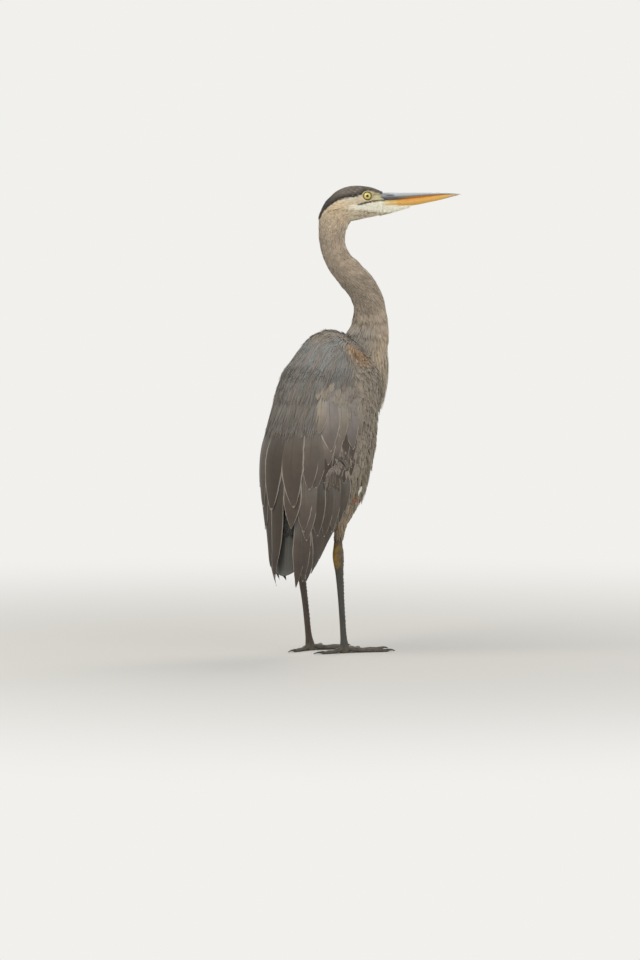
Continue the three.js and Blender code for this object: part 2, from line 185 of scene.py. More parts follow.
class Line:
    """A smooth line through points, followed by a share from 0 to 1."""

    def __init__(self, points: Sequence[Sequence[float]]) -> None:
        """Keeps the points, with one more past each end."""
        p = np.asarray(points, float)
        self.points = np.vstack([2 * p[0] - p[1], p, 2 * p[-1] - p[-2]])

    def __call__(self, share: Array | float) -> Array:
        """Evaluates the line.

        Args:
            share: shares of the line, from 0 to 1.

        Returns:
            The places, along a new last axis.
        """
        spans = len(self.points) - 3
        along = np.clip(np.asarray(share, float), 0, 1) * spans
        i = np.minimum(along.astype(int), spans - 1)
        t = (along - i)[..., None]
        p0, p1, p2, p3 = (self.points[i + k] for k in range(4))
        d0, d1, d2 = (
            np.maximum(np.sqrt(np.linalg.norm(b - a, axis=-1)), 1e-4)[..., None]
            for a, b in ((p0, p1), (p1, p2), (p2, p3))
        )
        s1 = ((p1 - p0) / d0 - (p2 - p0) / (d0 + d1) + (p2 - p1) / d1) * d1
        s2 = ((p2 - p1) / d1 - (p3 - p1) / (d1 + d2) + (p3 - p2) / d2) * d1
        return p1 + s1 * t + (3 * (p2 - p1) - 2 * s1 - s2) * t**2 + (2 * (p1 - p2) + s1 + s2) * t**3

    def ahead(self, share: Array | float) -> Array:
        """Returns the line's direction at the shares."""
        share = np.asarray(share, float)
        return unit(self(np.clip(share + 1e-3, 0, 1)) - self(np.clip(share - 1e-3, 0, 1)))


# ---------------------------------------------------------------- the bird's forms

HEAD_TURN = math.radians(-45)
EYES_AT = np.array([91.0, -12.0, 820.0])
EYE_RADIUS = 8.5
EYE_OUT = 10.6
SHOULDER_TOP = 580.0
DOME_FROM = 468.0
STANCE = 80.0
HEEL_HEIGHT = 178.0
TOE_RADIUS = 4.3
BODY_POWER = 2.4

CLOSED_BIRD = Stations([
    [95, -103, 15, 11], [117, -99, 24, 21], [160, -87, 40, 40], [200, -72, 53, 55], [240, -53, 66, 76],
    [280, -38, 76, 95], [328, -29, 84, 105], [370, -19, 88, 109], [410, -8, 88, 103], [450, 3, 88, 99],
    [480, 11, 87, 97], [510, 15, 84, 91], [535, 14, 78, 80], [560, 9, 71, 72], [590, 5, 65, 69],
])
"""The whole bird with its wings closed: height, middle, half width and half depth."""

INSIDE_WINGS = Stations([
    [90, -110, -30, 9], [117, -109, -20, 15], [160, -116, 0, 29], [200, -118, 14, 42], [225, -120, 30, 49],
    [240, -121, 39, 54], [280, -122, 67, 64], [328, -123, 84, 72], [370, -118, 94, 76], [410, -103, 97, 77],
    [450, -87, 103, 76], [480, -76, 108, 75], [510, -68, 106, 72], [535, -60, 94, 66], [560, -56, 80, 60],
    [590, -56, 70, 56],
])
"""The body inside the wings: height, back, front and half width."""

NECK = (
    (50, 0, 450, 50, 56), (84, -1, 518, 44, 49), (104, -3, 572, 34, 40), (104, -6, 604, 28.5, 33),
    (99, -6, 629, 26, 30), (89, 0, 653, 25, 28.5), (72, 14, 679, 24, 27), (57, 26, 702, 23, 24.5),
    (48, 32, 727, 22, 23.5), (46, 33, 753, 21, 25), (50, 29, 779, 20, 28), (64, 15, 801, 18, 25),
)
"""The neck: x, y, z, half width and half depth."""

SKULL_SIZE = Stations([
    [-88, -26, -54, 12], [-80, -15, -54, 14.5], [-70, -4.5, -53, 16.5], [-58, 6.5, -51, 18.3],
    [-46, 13.2, -49, 19.2], [-34, 17, -47, 19.8], [-20, 18.4, -44.5, 19.6], [0, 16.8, -40, 17.6],
    [13, 13.8, -37.6, 15], [23, 9.6, -35.8, 12.6], [36, 4.4, -33.6, 10.2],
])
CHIN_SIZE = Stations([
    [5, -8, -38.6, 11], [26, -10, -35.6, 9.8], [40, -11, -32.8, 8.6], [60, -11, -27.2, 6.2],
    [80, -10, -21, 4.2], [93, -11, -16, 2],
])
UPPER_BILL = Stations([
    [16, 5, -8, 10.5], [35, 5.6, -8.2, 9.4], [64, 5.7, -6, 7.4], [105, 5.8, -1.4, 5], [141, 5.2, 2.2, 3],
    [158, 4.2, 2.6, 1.8], [170, 3.2, 2.4, 0.8],
])
LOWER_BILL = Stations([
    [16, -8.6, -21, 10], [40, -8.4, -19.8, 8.6], [85, -4.1, -17.2, 6.4], [110, -1.5, -12.2, 4.8],
    [134, 0.9, -7, 3.4], [155, 2.2, -1.4, 1.9], [166, 2.5, 1.2, 0.8],
])
"""The head and bill, along the head from between the eyes: place, top, bottom and half width."""

PLUMES = Stations([
    [406, 98, 20, 14], [428, 102, 31, 19], [450, 102, 36, 26], [478, 100, 42, 38], [524, 97, 45, 44],
    [545, 101, 40, 40], [580, 104, 28, 34],
])
"""The hanging breast plumes: height, middle, half depth and half width."""

WING_EDGE = Stations(
    [[230, -34], [248, -30], [302, -14], [345, 10], [390, 32], [440, 46], [500, 52], [545, 60], [580, 60]]
)
"""How far forward the closed wings reach at a height."""


def head_way(local: Array) -> Array:
    """Turns directions from the head's own frame, forward, left and up, to the bird's.

    Args:
        local: directions in the head's own frame.

    Returns:
        The same directions in the bird's frame.
    """
    c, s = math.cos(HEAD_TURN), math.sin(HEAD_TURN)
    x, y, z = np.moveaxis(local, -1, 0)
    return stack(x * c - y * s, x * s + y * c, z)


def head_point(local: Array) -> Array:
    """Takes points from the head's frame, which starts between the eyes, to the bird's."""
    return head_way(local) + EYES_AT


def in_head(points: Array) -> Array:
    """Takes points from the bird's frame to the head's.

    Args:
        points: points in the bird's frame, in millimetres.

    Returns:
        The points in the head's frame.
    """
    c, s = math.cos(HEAD_TURN), math.sin(HEAD_TURN)
    x, y, z = np.moveaxis(points - EYES_AT, -1, 0)
    return stack(x * c + y * s, -x * s + y * c, z)


def rounded(c: Array, s: Array, deep: Array, wide: Array, power: float) -> Array:
    """Returns how far a rounded box of half depth and half width reaches at a cosine and sine."""
    return (np.abs(c / deep) ** power + np.abs(s / wide) ** power) ** (-1 / power)


class Form:
    """A rounded form: a place along it and an angle round it give a point of its surface."""

    step = 0.5
    low = 0.0
    high = 1.0

    def surface(self, along: Array, angle: Array) -> Array:
        """Returns points of the surface, for places and angles of one shape."""
        raise NotImplementedError

    def at(self, along: Array | float, angle: Array | float) -> Array:
        """Returns points of the surface."""
        return self.surface(*np.broadcast_arrays(np.asarray(along, float), np.asarray(angle, float)))

    def held(self, along: Array) -> Array:
        """Keeps places between the form's ends."""
        return np.clip(along, *sorted((self.low, self.high)))

    def frame(self, along: Array, angle: Array) -> tuple[Array, Array, Array, Array, Array, Array]:
        """Measures the surface.

        Args:
            along: places along the form.
            angle: angles round it, in radians.

        Returns:
            The points, the unit vectors ahead, round and out, and how many millimetres one unit of place
            and one radian are there.
        """
        along, angle = np.broadcast_arrays(np.asarray(along, float), np.asarray(angle, float))
        low, high, turn = self.held(along - self.step), self.held(along + self.step), 0.01
        ahead = (self.at(high, angle) - self.at(low, angle)) / (high - low)[..., None]
        around = (self.at(along, angle + turn) - self.at(along, angle - turn)) / (2 * turn)
        point = self.at(along, angle)
        out = unit(np.cross(ahead, around))
        middle = (point + self.at(along, angle + math.pi)) / 2
        facing = np.sign(np.sum(out * (point - middle), -1, keepdims=True))
        lengths = (np.linalg.norm(way, axis=-1) for way in (ahead, around))
        return point, unit(ahead), unit(around), out * np.where(facing == 0, 1, facing), *lengths

    def lifted(self, along: Array, angle: Array, lift: Array | float) -> Array:
        """Returns points above the surface by lift millimetres."""
        point, _, _, out, _, _ = self.frame(along, angle)
        return point + out * np.asarray(lift)[..., None]

    def bend(self, along: Array, angle: Array, way: Array, reach: float) -> Array:
        """Measures how fast the surface falls away along a direction.

        Args:
            along: places along the form.
            angle: angles round it.
            way: unit directions along the surface.
            reach: the half length of the test step in millimetres.

        Returns:
            The fall per square millimetre, twice over, which is the curvature.
        """
        point, ahead, around, out, per_along, per_angle = self.frame(along, angle)
        da = np.sum(way * ahead, -1) * reach / per_along
        dr = np.sum(way * around, -1) * reach / per_angle
        low = self.at(self.held(along - da), angle - dr)
        high = self.at(self.held(along + da), angle + dr)
        return np.clip(-np.sum((high + low - 2 * point) * out, -1) / reach**2, -0.02, 0.08)

    def rings(self, along: Array, around: int, lift: Array | float = 0.0) -> Array:
        """Samples the form as rings of points, lifted off it by some millimetres."""
        grid = lattice(along, circle(around))
        return self.lifted(*grid, np.broadcast_to(lift, grid[0].shape))


class ClosedBird(Form):
    """The whole bird with its wings closed. Angles start at the back and are positive on the left side."""

    low, high = 100.0, SHOULDER_TOP + 0.3

    def surface(self, along: Array, angle: Array) -> Array:
        """Finds points of the surface at a height and an angle.

        Args:
            along: heights in millimetres.
            angle: angles in radians.

        Returns:
            The points, along a new last axis.
        """
        middle, width, depth = np.moveaxis(CLOSED_BIRD(along), -1, 0)
        past = np.maximum(along - DOME_FROM, 0) / (SHOULDER_TOP + 0.5 - DOME_FROM)
        close = np.sqrt(np.maximum(1 - past**2, 1e-6))
        c, s = -np.cos(angle), np.sin(angle)
        reach = rounded(c, s, depth * close, width * close, BODY_POWER)
        return stack(middle + reach * c, reach * s, along)


class Trunk(Form):
    """The body inside the wings, closed at the vent. Angles start at the back, positive on the left."""

    low, high = 203.5, 573.5

    def surface(self, along: Array, angle: Array) -> Array:
        """Finds points of the surface at a height and an angle.

        Args:
            along: heights in millimetres.
            angle: angles in radians.

        Returns:
            The points, along a new last axis.
        """
        back, front, width = np.moveaxis(INSIDE_WINGS(along), -1, 0)
        top = np.maximum(along - DOME_FROM, 0) / (574.5 - DOME_FROM)
        vent = np.maximum(252 - along, 0) / 49.5
        close_vent = np.sqrt(np.maximum(1 - vent**2, 1e-6))
        close = np.sqrt(np.maximum(1 - top**2, 1e-6)) * close_vent
        middle = (back + front) / 2 - 12 * (1 - close_vent)
        c, s = -np.cos(angle), np.sin(angle)
        reach = rounded(c, s, (front - back) * close / 2, width * close, BODY_POWER)
        return stack(middle + reach * c, reach * s, along)


class HeadForm(Form):
    """A form along the head or bill. Angles start at the top and are positive on the right."""

    def __init__(
        self, size: Stations, low: float, high: float, back: float = 0, front: float = 0, power: float = 2
    ) -> None:
        """Keeps the form's sizes.

        Args:
            size: top, bottom and half width along the head.
            low: where it starts.
            high: where it ends.
            back: the length over which it closes at the start.
            front: the length over which it closes at the end.
            power: 2 gives elliptical sections, and less gives keeled ones.
        """
        self.size, self.low, self.high = size, low, high
        self.back, self.front, self.power = back, front, power

    def surface(self, along: Array, angle: Array) -> Array:
        """Finds points of the surface at a place along the head and an angle.

        Args:
            along: places along the head in millimetres.
            angle: angles in radians.

        Returns:
            The points, along a new last axis.
        """
        top, bottom, width = np.moveaxis(self.size(along), -1, 0)
        close = np.ones_like(along)
        ends = ((self.back, self.low + self.back - along), (self.front, along - self.high + self.front))
        for length, over in ends:
            if length:
                past = np.maximum(over, 0) / (length + 0.05)
                close = close * np.sqrt(np.maximum(1 - past**2, 1e-5))
        c, s = np.cos(angle), np.sin(angle)
        reach = rounded(c, s, (top - bottom) / 2 * close, width * close, self.power)
        return head_point(stack(along, -reach * s, (top + bottom) / 2 + reach * c))


class Limb(Form):
    """A round limb through rows of x, y, z, half width and half depth. Angles start at the top or front."""

    step = 0.01

    def __init__(self, rows: Sequence[Sequence[float]]) -> None:
        """Keeps the limb's rows.

        Args:
            rows: at least two rows, from the start to the end.
        """
        self.line = Line([row[:3] for row in rows])
        last = len(rows) - 1
        self.size = Stations([[i / last, row[3], row[4]] for i, row in enumerate(rows)])

    def axes(self, along: Array, ahead: Array) -> tuple[Array, Array]:
        """Finds the directions of the width and of the depth, across the limb.

        Args:
            along: shares of the line, which only the neck needs.
            ahead: the line's directions there.

        Returns:
            Two unit vectors for each share.
        """
        sideways = stack(-ahead[..., 1], ahead[..., 0], 0.0)
        sideways = np.where(np.abs(ahead[..., 2:]) > 0.7, np.array([0.0, 1.0, 0.0]), sideways)
        sideways = square_to(sideways, ahead)
        return sideways, np.cross(ahead, sideways)

    def surface(self, along: Array, angle: Array) -> Array:
        """Finds points of the surface at a share of the line and an angle.

        Args:
            along: shares of the line.
            angle: angles in radians.

        Returns:
            The points, along a new last axis.
        """
        wide, deep = np.moveaxis(self.size(along), -1, 0)
        across, over = self.axes(along, self.line.ahead(along))
        return self.line(along) + across * (wide * np.sin(angle))[..., None] + over * (deep * np.cos(angle))[..., None]


class Neck(Limb):
    """The neck, followed from the breast up. Angles start at the throat, positive on its left."""

    step = 0.004
    low, high = 0.0, 0.985

    def axes(self, along: Array, ahead: Array) -> tuple[Array, Array]:
        """Finds the directions of the neck's left and of the throat, which turn with the head.

        Args:
            along: shares of the line.
            ahead: the line's directions there.

        Returns:
            Two unit vectors for each share.
        """
        turn = HEAD_TURN * ease(0.15, 0.95, along)
        left = square_to(stack(-np.sin(turn), np.cos(turn), 0.0), ahead)
        return left, np.cross(left, ahead)


BIRD, TRUNK, THROAT = ClosedBird(), Trunk(), Neck(NECK)
SKULL, JAW = HeadForm(SKULL_SIZE, -88, 35, 17, 9), HeadForm(CHIN_SIZE, 5, 93, 0, 10)


def clear_of(form: Form, points: Array) -> Array:
    """Measures how far points lie outside a standing form, level with them, in millimetres.

    Args:
        form: the standing form.
        points: the points, one a row.

    Returns:
        The distances: below zero inside, and 99 above or below the form.
    """
    z = np.clip(points[:, 2], form.low, form.high)
    middle = (form.at(z, 0.0) + form.at(z, math.pi)) / 2
    angle = np.arctan2(points[:, 1], middle[:, 0] - points[:, 0])
    surface = form.at(z, angle) - middle
    away = np.hypot(points[:, 0] - middle[:, 0], points[:, 1]) - np.hypot(surface[:, 0], surface[:, 1])
    return np.where((points[:, 2] < form.low) | (points[:, 2] > form.high), 99.0, away)


class Toe(Enum):
    """The four toes: angle outwards from straight ahead, length and claw length."""

    INNER = (-26, 74, 15)
    MIDDLE = (2, 92, 16)
    OUTER = (31, 80, 14)
    HIND = (190, 46, 21)


@dataclass(frozen=True)
class LegPlan:
    """One leg's places: its side, and how far forward its foot and heel are."""

    side: int
    foot_x: float
    heel_x: float

    def shin(self) -> Limb:
        """Lays out the bare leg, from the thigh feathers down to the sole.

        Returns:
            The limb, whose share runs from the thigh to the sole.
        """
        y, side, foot, heel, up = self.side * STANCE / 2, self.side, self.foot_x, self.heel_x, HEEL_HEIGHT
        return Limb([
            [heel - 1, y + side, up + 34, 6.2, 6.6],
            [heel - 2, y + side, up + 14, 7.8, 9],
            [heel - 2, y + side, up - 4, 8.8, 10.6],
            [heel * 0.84 + foot * 0.16 - 1, y + side, up * 0.8, 6, 7.8],
            [(heel + foot) / 2, y, up / 2, 4.8, 6.2],
            [heel * 0.14 + foot * 0.86, y, up * 0.16, 5, 6.4],
            [foot, y, 8, 7.6, 9],
            [foot, y, -3, 7.8, 9.4],
        ])

    def thigh(self) -> Limb:
        """Lays out the feathered thigh, from inside the belly down to the bare leg.

        Returns:
            The limb, whose share runs from the belly to the bare leg.
        """
        y, side, heel, up = self.side * STANCE / 2, self.side, self.heel_x, HEEL_HEIGHT
        return Limb([
            [heel + 36, y * 0.86, 312, 20, 26],
            [heel + 28, y * 0.92, 284, 21, 26],
            [heel + 16, y * 0.97, 258, 18, 20],
            [heel + 8, y, 239, 12.6, 13.6],
            [heel + 2, y + side, 222, 9.8, 10.8],
            [heel - 1, y + side, up + 26, 8.4, 9.4],
        ])

    def toe_rows(self, toe: Toe) -> list[list[float]]:
        """Lays out one toe, from inside the ankle out to its claw.

        Args:
            toe: which toe.

        Returns:
            Rows of x, y, z, half width and half depth.
        """
        degrees, length, _ = toe.value
        angle = math.radians(degrees) * self.side
        rows = []
        for i, share in enumerate((0, 0.22, 0.45, 0.68, 0.86, 1)):
            reach = 4 + (length - 4) * share
            radius = TOE_RADIUS * (1 - 0.3 * share) * (1.1 if i % 2 else 0.96)
            x, y = self.foot_x + math.cos(angle) * reach, self.side * STANCE / 2 + math.sin(angle) * reach
            rows.append([x, y, radius * (0.78 + 1.1 * (1 - share) ** 4), radius * 1.04, radius])
        return rows

    def toes(self) -> list[Limb]:
        """Returns the four toes."""
        return [Limb(self.toe_rows(toe)) for toe in Toe]

    def claw(self, toe: Toe) -> Limb:
        """Lays out one claw, from inside the toe out to its point.

        Args:
            toe: the toe that carries it.

        Returns:
            The limb, whose share runs from the toe to the claw's point.
        """
        (x1, y1, *_), (x2, y2, z2, *_) = self.toe_rows(toe)[-2:]
        reach = math.hypot(x2 - x1, y2 - y1)
        ux, uy, length = (x2 - x1) / reach, (y2 - y1) / reach, toe.value[2]
        rows = []
        for share in (-0.1, 0.3, 0.7, 1):
            rise, thin = 0.4 + 1.4 * math.sin(math.pi * share) - 1.1 * share, 1 - 0.72 * share
            rows.append([x2 + ux * length * share, y2 + uy * length * share, z2 + rise, 2.3 * thin, 2.7 * thin])
        return Limb(rows)


LEGS = {"left": LegPlan(1, -4, -28), "right": LegPlan(-1, 4, -11)}


# ---------------------------------------------------------------- meshes


@dataclass(frozen=True)
class Placing:
    """Where the bird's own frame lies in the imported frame."""

    shift: tuple[float, float, float]

    def metres(self, points: Array) -> Array:
        """Takes points from the bird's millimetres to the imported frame's metres."""
        return points * 0.001 + np.asarray(self.shift)

    def millimetres(self, points: Array) -> Array:
        """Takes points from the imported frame's metres to the bird's millimetres."""
        return (points - np.asarray(self.shift)) * 1000

    def solid(self, name: str, shells: Sequence[tuple[Array, Faces]]) -> Object:
        """Makes one mesh object of solids in millimetres, each still a shell of its own.

        Args:
            name: the object's name.
            shells: the vertices and faces of each solid.

        Returns:
            The object.
        """
        faces, base = [], 0
        for points, polys in shells:
            faces += [[base + v for v in poly] for poly in polys]
            base += len(points)
        return mesh_object(name, self.metres(np.vstack([points for points, _ in shells])), faces)


def mesh_object(name: str, points: Array, faces: Faces, smooth: bool = True) -> Object:
    """Makes a mesh object of vertices in metres and links it to the scene.

    Args:
        name: the object's name.
        points: its vertices.
        faces: its faces, as rows of vertex numbers.
        smooth: whether its faces are shaded smooth.

    Returns:
        The object.
    """
    mesh = bpy.data.meshes.new(name)
    mesh.from_pydata(points.tolist(), [], [list(map(int, f)) for f in faces])
    mesh.polygons.foreach_set("use_smooth", [smooth] * len(mesh.polygons))
    mesh.update()
    return linked(name, mesh)


def linked(name: str, data: bpy.types.ID) -> Object:
    """Makes an object of some data and links it to the scene.

    Args:
        name: the object's name.
        data: its mesh, lamp or camera.

    Returns:
        The object.
    """
    made = bpy.data.objects.new(name, data)
    bpy.context.scene.collection.objects.link(made)
    return made


def baked(source: Object) -> Object:
    """Turns an object's live modifiers into a plain mesh.

    Args:
        source: the object, which is removed.

    Returns:
        A new object of the same name with no modifiers.
    """
    name = source.name
    graph = bpy.context.evaluated_depsgraph_get()
    mesh = bpy.data.meshes.new_from_object(source.evaluated_get(graph), depsgraph=graph)
    bpy.data.objects.remove(source)
    mesh.name = name
    return linked(name, mesh)


def turned(faces: Faces) -> Faces:
    """Turns faces to look the other way."""
    return [face[::-1] for face in faces]


def tube(rings: Array) -> tuple[Array, Faces]:
    """Closes a stack of rings into a solid.

    Args:
        rings: points as (ring, place in the ring, 3).

    Returns:
        The vertices and the faces.
    """
    count, around = rings.shape[:2]
    faces = []
    for i in range(count - 1):
        for j in range(around):
            k = (j + 1) % around
            faces.append([i * around + j, i * around + k, (i + 1) * around + k, (i + 1) * around + j])
    first, last = count * around, count * around + 1
    for j in range(around):
        k = (j + 1) % around
        faces += [[first, k, j], [last, (count - 1) * around + j, (count - 1) * around + k]]
    return np.vstack([rings.reshape(-1, 3), rings[0].mean(0), rings[-1].mean(0)]), faces


def crowded(low: float, high: float, count: int) -> Array:
    """Places from low to high that crowd towards both ends."""
    return low + (high - low) * (1 - np.cos(np.linspace(0, math.pi, count))) / 2


def remeshed(source: Object, voxel: float, smoothing: int) -> Object:
    """Fuses overlapping shells into one smooth closed mesh.

    Args:
        source: the object.
        voxel: the grid size in metres.
        smoothing: how many times the result is smoothed.

    Returns:
        The new object.
    """
    fuse = source.modifiers.new("fuse", "REMESH")
    fuse.mode, fuse.voxel_size, fuse.use_smooth_shade = "VOXEL", voxel, True
    soften = source.modifiers.new("soften", "SMOOTH")
    soften.factor, soften.iterations = 0.5, smoothing
    return baked(source)


def write(target: Object, name: str, kind: str, values: Array) -> None:
    """Stores one value a vertex as a named attribute.

    Args:
        target: the object.
        name: the attribute's name.
        kind: FLOAT_VECTOR, FLOAT_COLOR or INT.
        values: one row a vertex.
    """
    layer = target.data.attributes.new(name, kind, "POINT")
    field = {"FLOAT_VECTOR": "vector", "FLOAT_COLOR": "color", "INT": "value"}[kind]
    layer.data.foreach_set(field, values.astype(np.int32 if kind == "INT" else np.float32).ravel())


def set_colour(target: Object, colours: Array) -> None:
    """Stores one linear colour a vertex as the attribute "tint"."""
    write(target, "tint", "FLOAT_COLOR", np.column_stack([colours, np.ones(len(colours))]))


def write_map(target: Object, name: str, places: Array) -> None:
    """Stores one map place a vertex as a UV map of some name.

    Args:
        target: the object.
        name: the map's name.
        places: one place a vertex.
    """
    corners = np.empty(len(target.data.loops), np.int32)
    target.data.loops.foreach_get("vertex_index", corners)
    layer = target.data.uv_layers.new(name=name)
    layer.data.foreach_set("uv", places[corners].astype(np.float32).ravel())


def slab(top: Array, under: Array) -> tuple[Array, Faces]:
    """Closes two grids of points, one above the other, into a thin solid.

    Args:
        top: the upper face as (row, column, 3).
        under: the lower face, of the same shape.

    Returns:
        The vertices and the faces.
    """
    rows, cols = top.shape[:2]
    base, faces = rows * cols, []
    for i in range(rows - 1):
        for j in range(cols - 1):
            a, b = i * cols + j, (i + 1) * cols + j
            faces += [[a, b, b + 1, a + 1], [base + a, base + a + 1, base + b + 1, base + b]]
        a, b = i * cols, (i + 1) * cols
        c, d = a + cols - 1, b + cols - 1
        faces += [[a, base + a, base + b, b], [d, base + d, base + c, c]]
    for j in range(cols - 1):
        a = (rows - 1) * cols + j
        faces += [[j, j + 1, base + j + 1, base + j], [a + 1, a, base + a, base + a + 1]]
    return np.vstack([top.reshape(-1, 3), under.reshape(-1, 3)]), faces


def vertices(target: Object) -> Array:
    """Reads an object's vertices in metres.

    Args:
        target: the object.

    Returns:
        The vertices, one a row.
    """
    flat = np.empty(len(target.data.vertices) * 3, np.float32)
    target.data.vertices.foreach_get("co", flat)
    return flat.reshape(-1, 3).astype(float)


# ---------------------------------------------------------------- materials


def feed(tree: bpy.types.NodeTree, node: bpy.types.Node, **inputs: object) -> None:
    """Sets or links a node's inputs.

    Args:
        tree: the node's tree.
        node: the node.
        **inputs: for each input, a value, or a socket to link. Spaces in names are written as underscores, and
            i0, i1 and so on name inputs by number.
    """
    for key, value in inputs.items():
        numbered = key[0] == "i" and key[1:].isdigit()
        socket = node.inputs[int(key[1:]) if numbered else key.replace("_", " ")]
        if isinstance(value, Socket):
            tree.links.new(value, socket)
        elif isinstance(socket.default_value, (int, float, str, bool)) or isinstance(value, bpy.types.ID):
            socket.default_value = value
        else:
            opaque = (1.0,) if len(socket.default_value) == 4 and len(value) == 3 else ()
            socket.default_value = (*value, *opaque)


def add_node(tree: bpy.types.NodeTree, kind: str, sets: dict | None = None, **inputs: object) -> bpy.types.Node:
    """Adds a node to a tree.

    Args:
        tree: the node tree.
        kind: the node's type name.
        sets: the node's own settings.
        **inputs: its inputs, as feed takes them.

    Returns:
        The node.
    """
    node = tree.nodes.new(kind)
    for key, value in (sets or {}).items():
        setattr(node, key, value)
    feed(tree, node, **inputs)
    return node


class Shading:
    """Adds the nodes of one material or world."""

    def __init__(self, tree: bpy.types.NodeTree) -> None:
        """Keeps the node tree."""
        self.tree = tree

    def add(self, kind: str, sets: dict | None = None, output: int | str = 0, **inputs: object) -> Socket:
        """Adds a shader node and returns one of its outputs."""
        return add_node(self.tree, f"ShaderNode{kind}", sets, **inputs).outputs[output]

    def maths(self, operation: str, *values: object) -> Socket:
        """Adds a math node."""
        return self.add("Math", {"operation": operation}, **{f"i{i}": value for i, value in enumerate(values)})

    def times(self, first: object, second: object) -> Socket:
        """Multiplies two values."""
        return self.maths("MULTIPLY", first, second)

    def spread(self, value: object, width: float, start: float) -> Socket:
        """Multiplies a value by a width and adds a start."""
        return self.maths("MULTIPLY_ADD", value, width, start)

    def opposite(self, value: object) -> Socket:
        """Takes a value from one."""
        return self.maths("SUBTRACT", 1.0, value)

    def ramp(self, value: object, low: float, high: float) -> Socket:
        """Steps smoothly from 0 at low to 1 at high."""
        return self.add("MapRange", {"interpolation_type": "SMOOTHSTEP"}, Value=value, From_Min=low, From_Max=high)

    def mixed(self, share: object, first: object, second: object) -> Socket:
        """Mixes two colours."""
        return self.add("Mix", {"data_type": "RGBA"}, 2, i0=share, i6=first, i7=second)

    def scaled(self, colour: object, share: object) -> Socket:
        """Scales a colour."""
        return self.add("VectorMath", {"operation": "SCALE"}, Vector=colour, Scale=share)

    def noise(self, at: object, scale: float, detail: float) -> Socket:
        """Adds soft noise."""
        return self.add("TexNoise", Vector=at, Scale=scale, Detail=detail)

    def place(self) -> Socket:
        """Reads the place on the piece in metres."""
        return self.add("TexCoord", output="Object")

    def uv(self, name: str) -> Socket:
        """Reads a map."""
        return self.add("UVMap", {"uv_map": name})

    def tint(self) -> Socket:
        """Reads the linear colour that each piece carries."""
        return self.add("Attribute", {"attribute_name": "tint"}, "Color")

    def plainly_seen(self) -> Socket:
        """Finds the rays that see the plain background: the camera's own, and those mirrored or let through.

        Returns:
            1 for those rays and 0 for all others.
        """
        path = add_node(self.tree, "ShaderNodeLightPath").outputs
        seen = self.maths("MAXIMUM", path["Is Camera Ray"], path["Is Transmission Ray"])
        return self.maths("MAXIMUM", seen, path["Is Glossy Ray"])


class Recipe(Shading):
    """A material in the making: nodes round one Principled shader."""

    def __init__(self, name: str) -> None:
        """Starts the material.

        Args:
            name: the material's name.
        """
        self.material = bpy.data.materials.new(name)
        self.material.use_nodes = True
        super().__init__(self.material.node_tree)
        self.shader = self.tree.nodes["Principled BSDF"]

    def relief(self, height: Socket, strength: float, depth: float) -> None:
        """Adds a relief of some depth in metres."""
        feed(self.tree, self.shader, Normal=self.add("Bump", Strength=strength, Distance=depth, Height=height))

    def made(self, colour: Socket, **values: object) -> Material:
        """Gives the shader its colour and other values, and returns the material."""
        feed(self.tree, self.shader, Base_Color=colour, **values)
        return self.material


@dataclass(frozen=True)
class FeatherFinish:
    """Keratin vanes: a dry satin surface of fine barbs on a shaft, often with a paler worn edge."""

    name: str
    edge: str = "#b3a792"
    edge_from: float = 0.78
    edge_strength: float = 0.0
    tip_from: float = 0.9
    shaft: float = 0.12
    streak: float = 0.0
    barbs_per_length: float = 14.0
    barbs_across: float = 5.0
    contrast: float = 0.16
    roughness: float = 0.72
    bump: float = 0.25

    def build(self) -> Material:
        """Builds the material, which reads each feather's tint and its own map from root to tip.

        Returns:
            The material.
        """
        nodes = Recipe(self.name)
        tint = nodes.tint()
        split = add_node(nodes.tree, "ShaderNodeSeparateXYZ", Vector=nodes.uv("Vane")).outputs
        across, along = nodes.maths("ABSOLUTE", nodes.spread(split[0], 2.0, -1.0)), split[1]
        # Barbs leave the shaft at a slant, so their lines are a function of the length plus the width.
        slant = nodes.spread(across, -0.12, along)
        lines = nodes.add(
            "CombineXYZ",
            X=nodes.times(split[0], self.barbs_across),
            Y=nodes.times(slant, self.barbs_per_length),
            Z=nodes.add("SeparateXYZ", Vector=tint),
        )
        barbs = nodes.noise(lines, 1.0, 3.0)
        colour = nodes.scaled(tint, nodes.spread(barbs, self.contrast * 2, 1 - self.contrast))
        if self.streak:
            middle = nodes.opposite(nodes.ramp(across, 0.1, 0.7))
            colour = nodes.mixed(nodes.times(middle, self.streak), colour, linear("#2f2a24"))
        if self.shaft:
            shaft = nodes.opposite(nodes.ramp(across, 0.01, 0.07))
            shaft = nodes.times(shaft, nodes.opposite(nodes.ramp(along, 0.3, 1.0)))
            colour = nodes.mixed(nodes.times(shaft, self.shaft), colour, linear("#2a2622"))
        if self.edge_strength:
            side, tip = nodes.ramp(across, self.edge_from, 1.0), nodes.ramp(along, self.tip_from, 1.0)
            rim = nodes.times(nodes.maths("MAXIMUM", side, tip), self.edge_strength)
            wear = nodes.spread(barbs, 0.7, 0.6)
            rim = nodes.times(nodes.times(rim, wear), nodes.ramp(along, 0.1, 0.35))
            colour = nodes.mixed(rim, colour, linear(self.edge))
        nodes.relief(barbs, self.bump, 0.0006)
        return nodes.made(
            colour, Roughness=self.roughness, Sheen_Weight=0.12, Sheen_Roughness=0.5, Specular_IOR_Level=0.3
        )


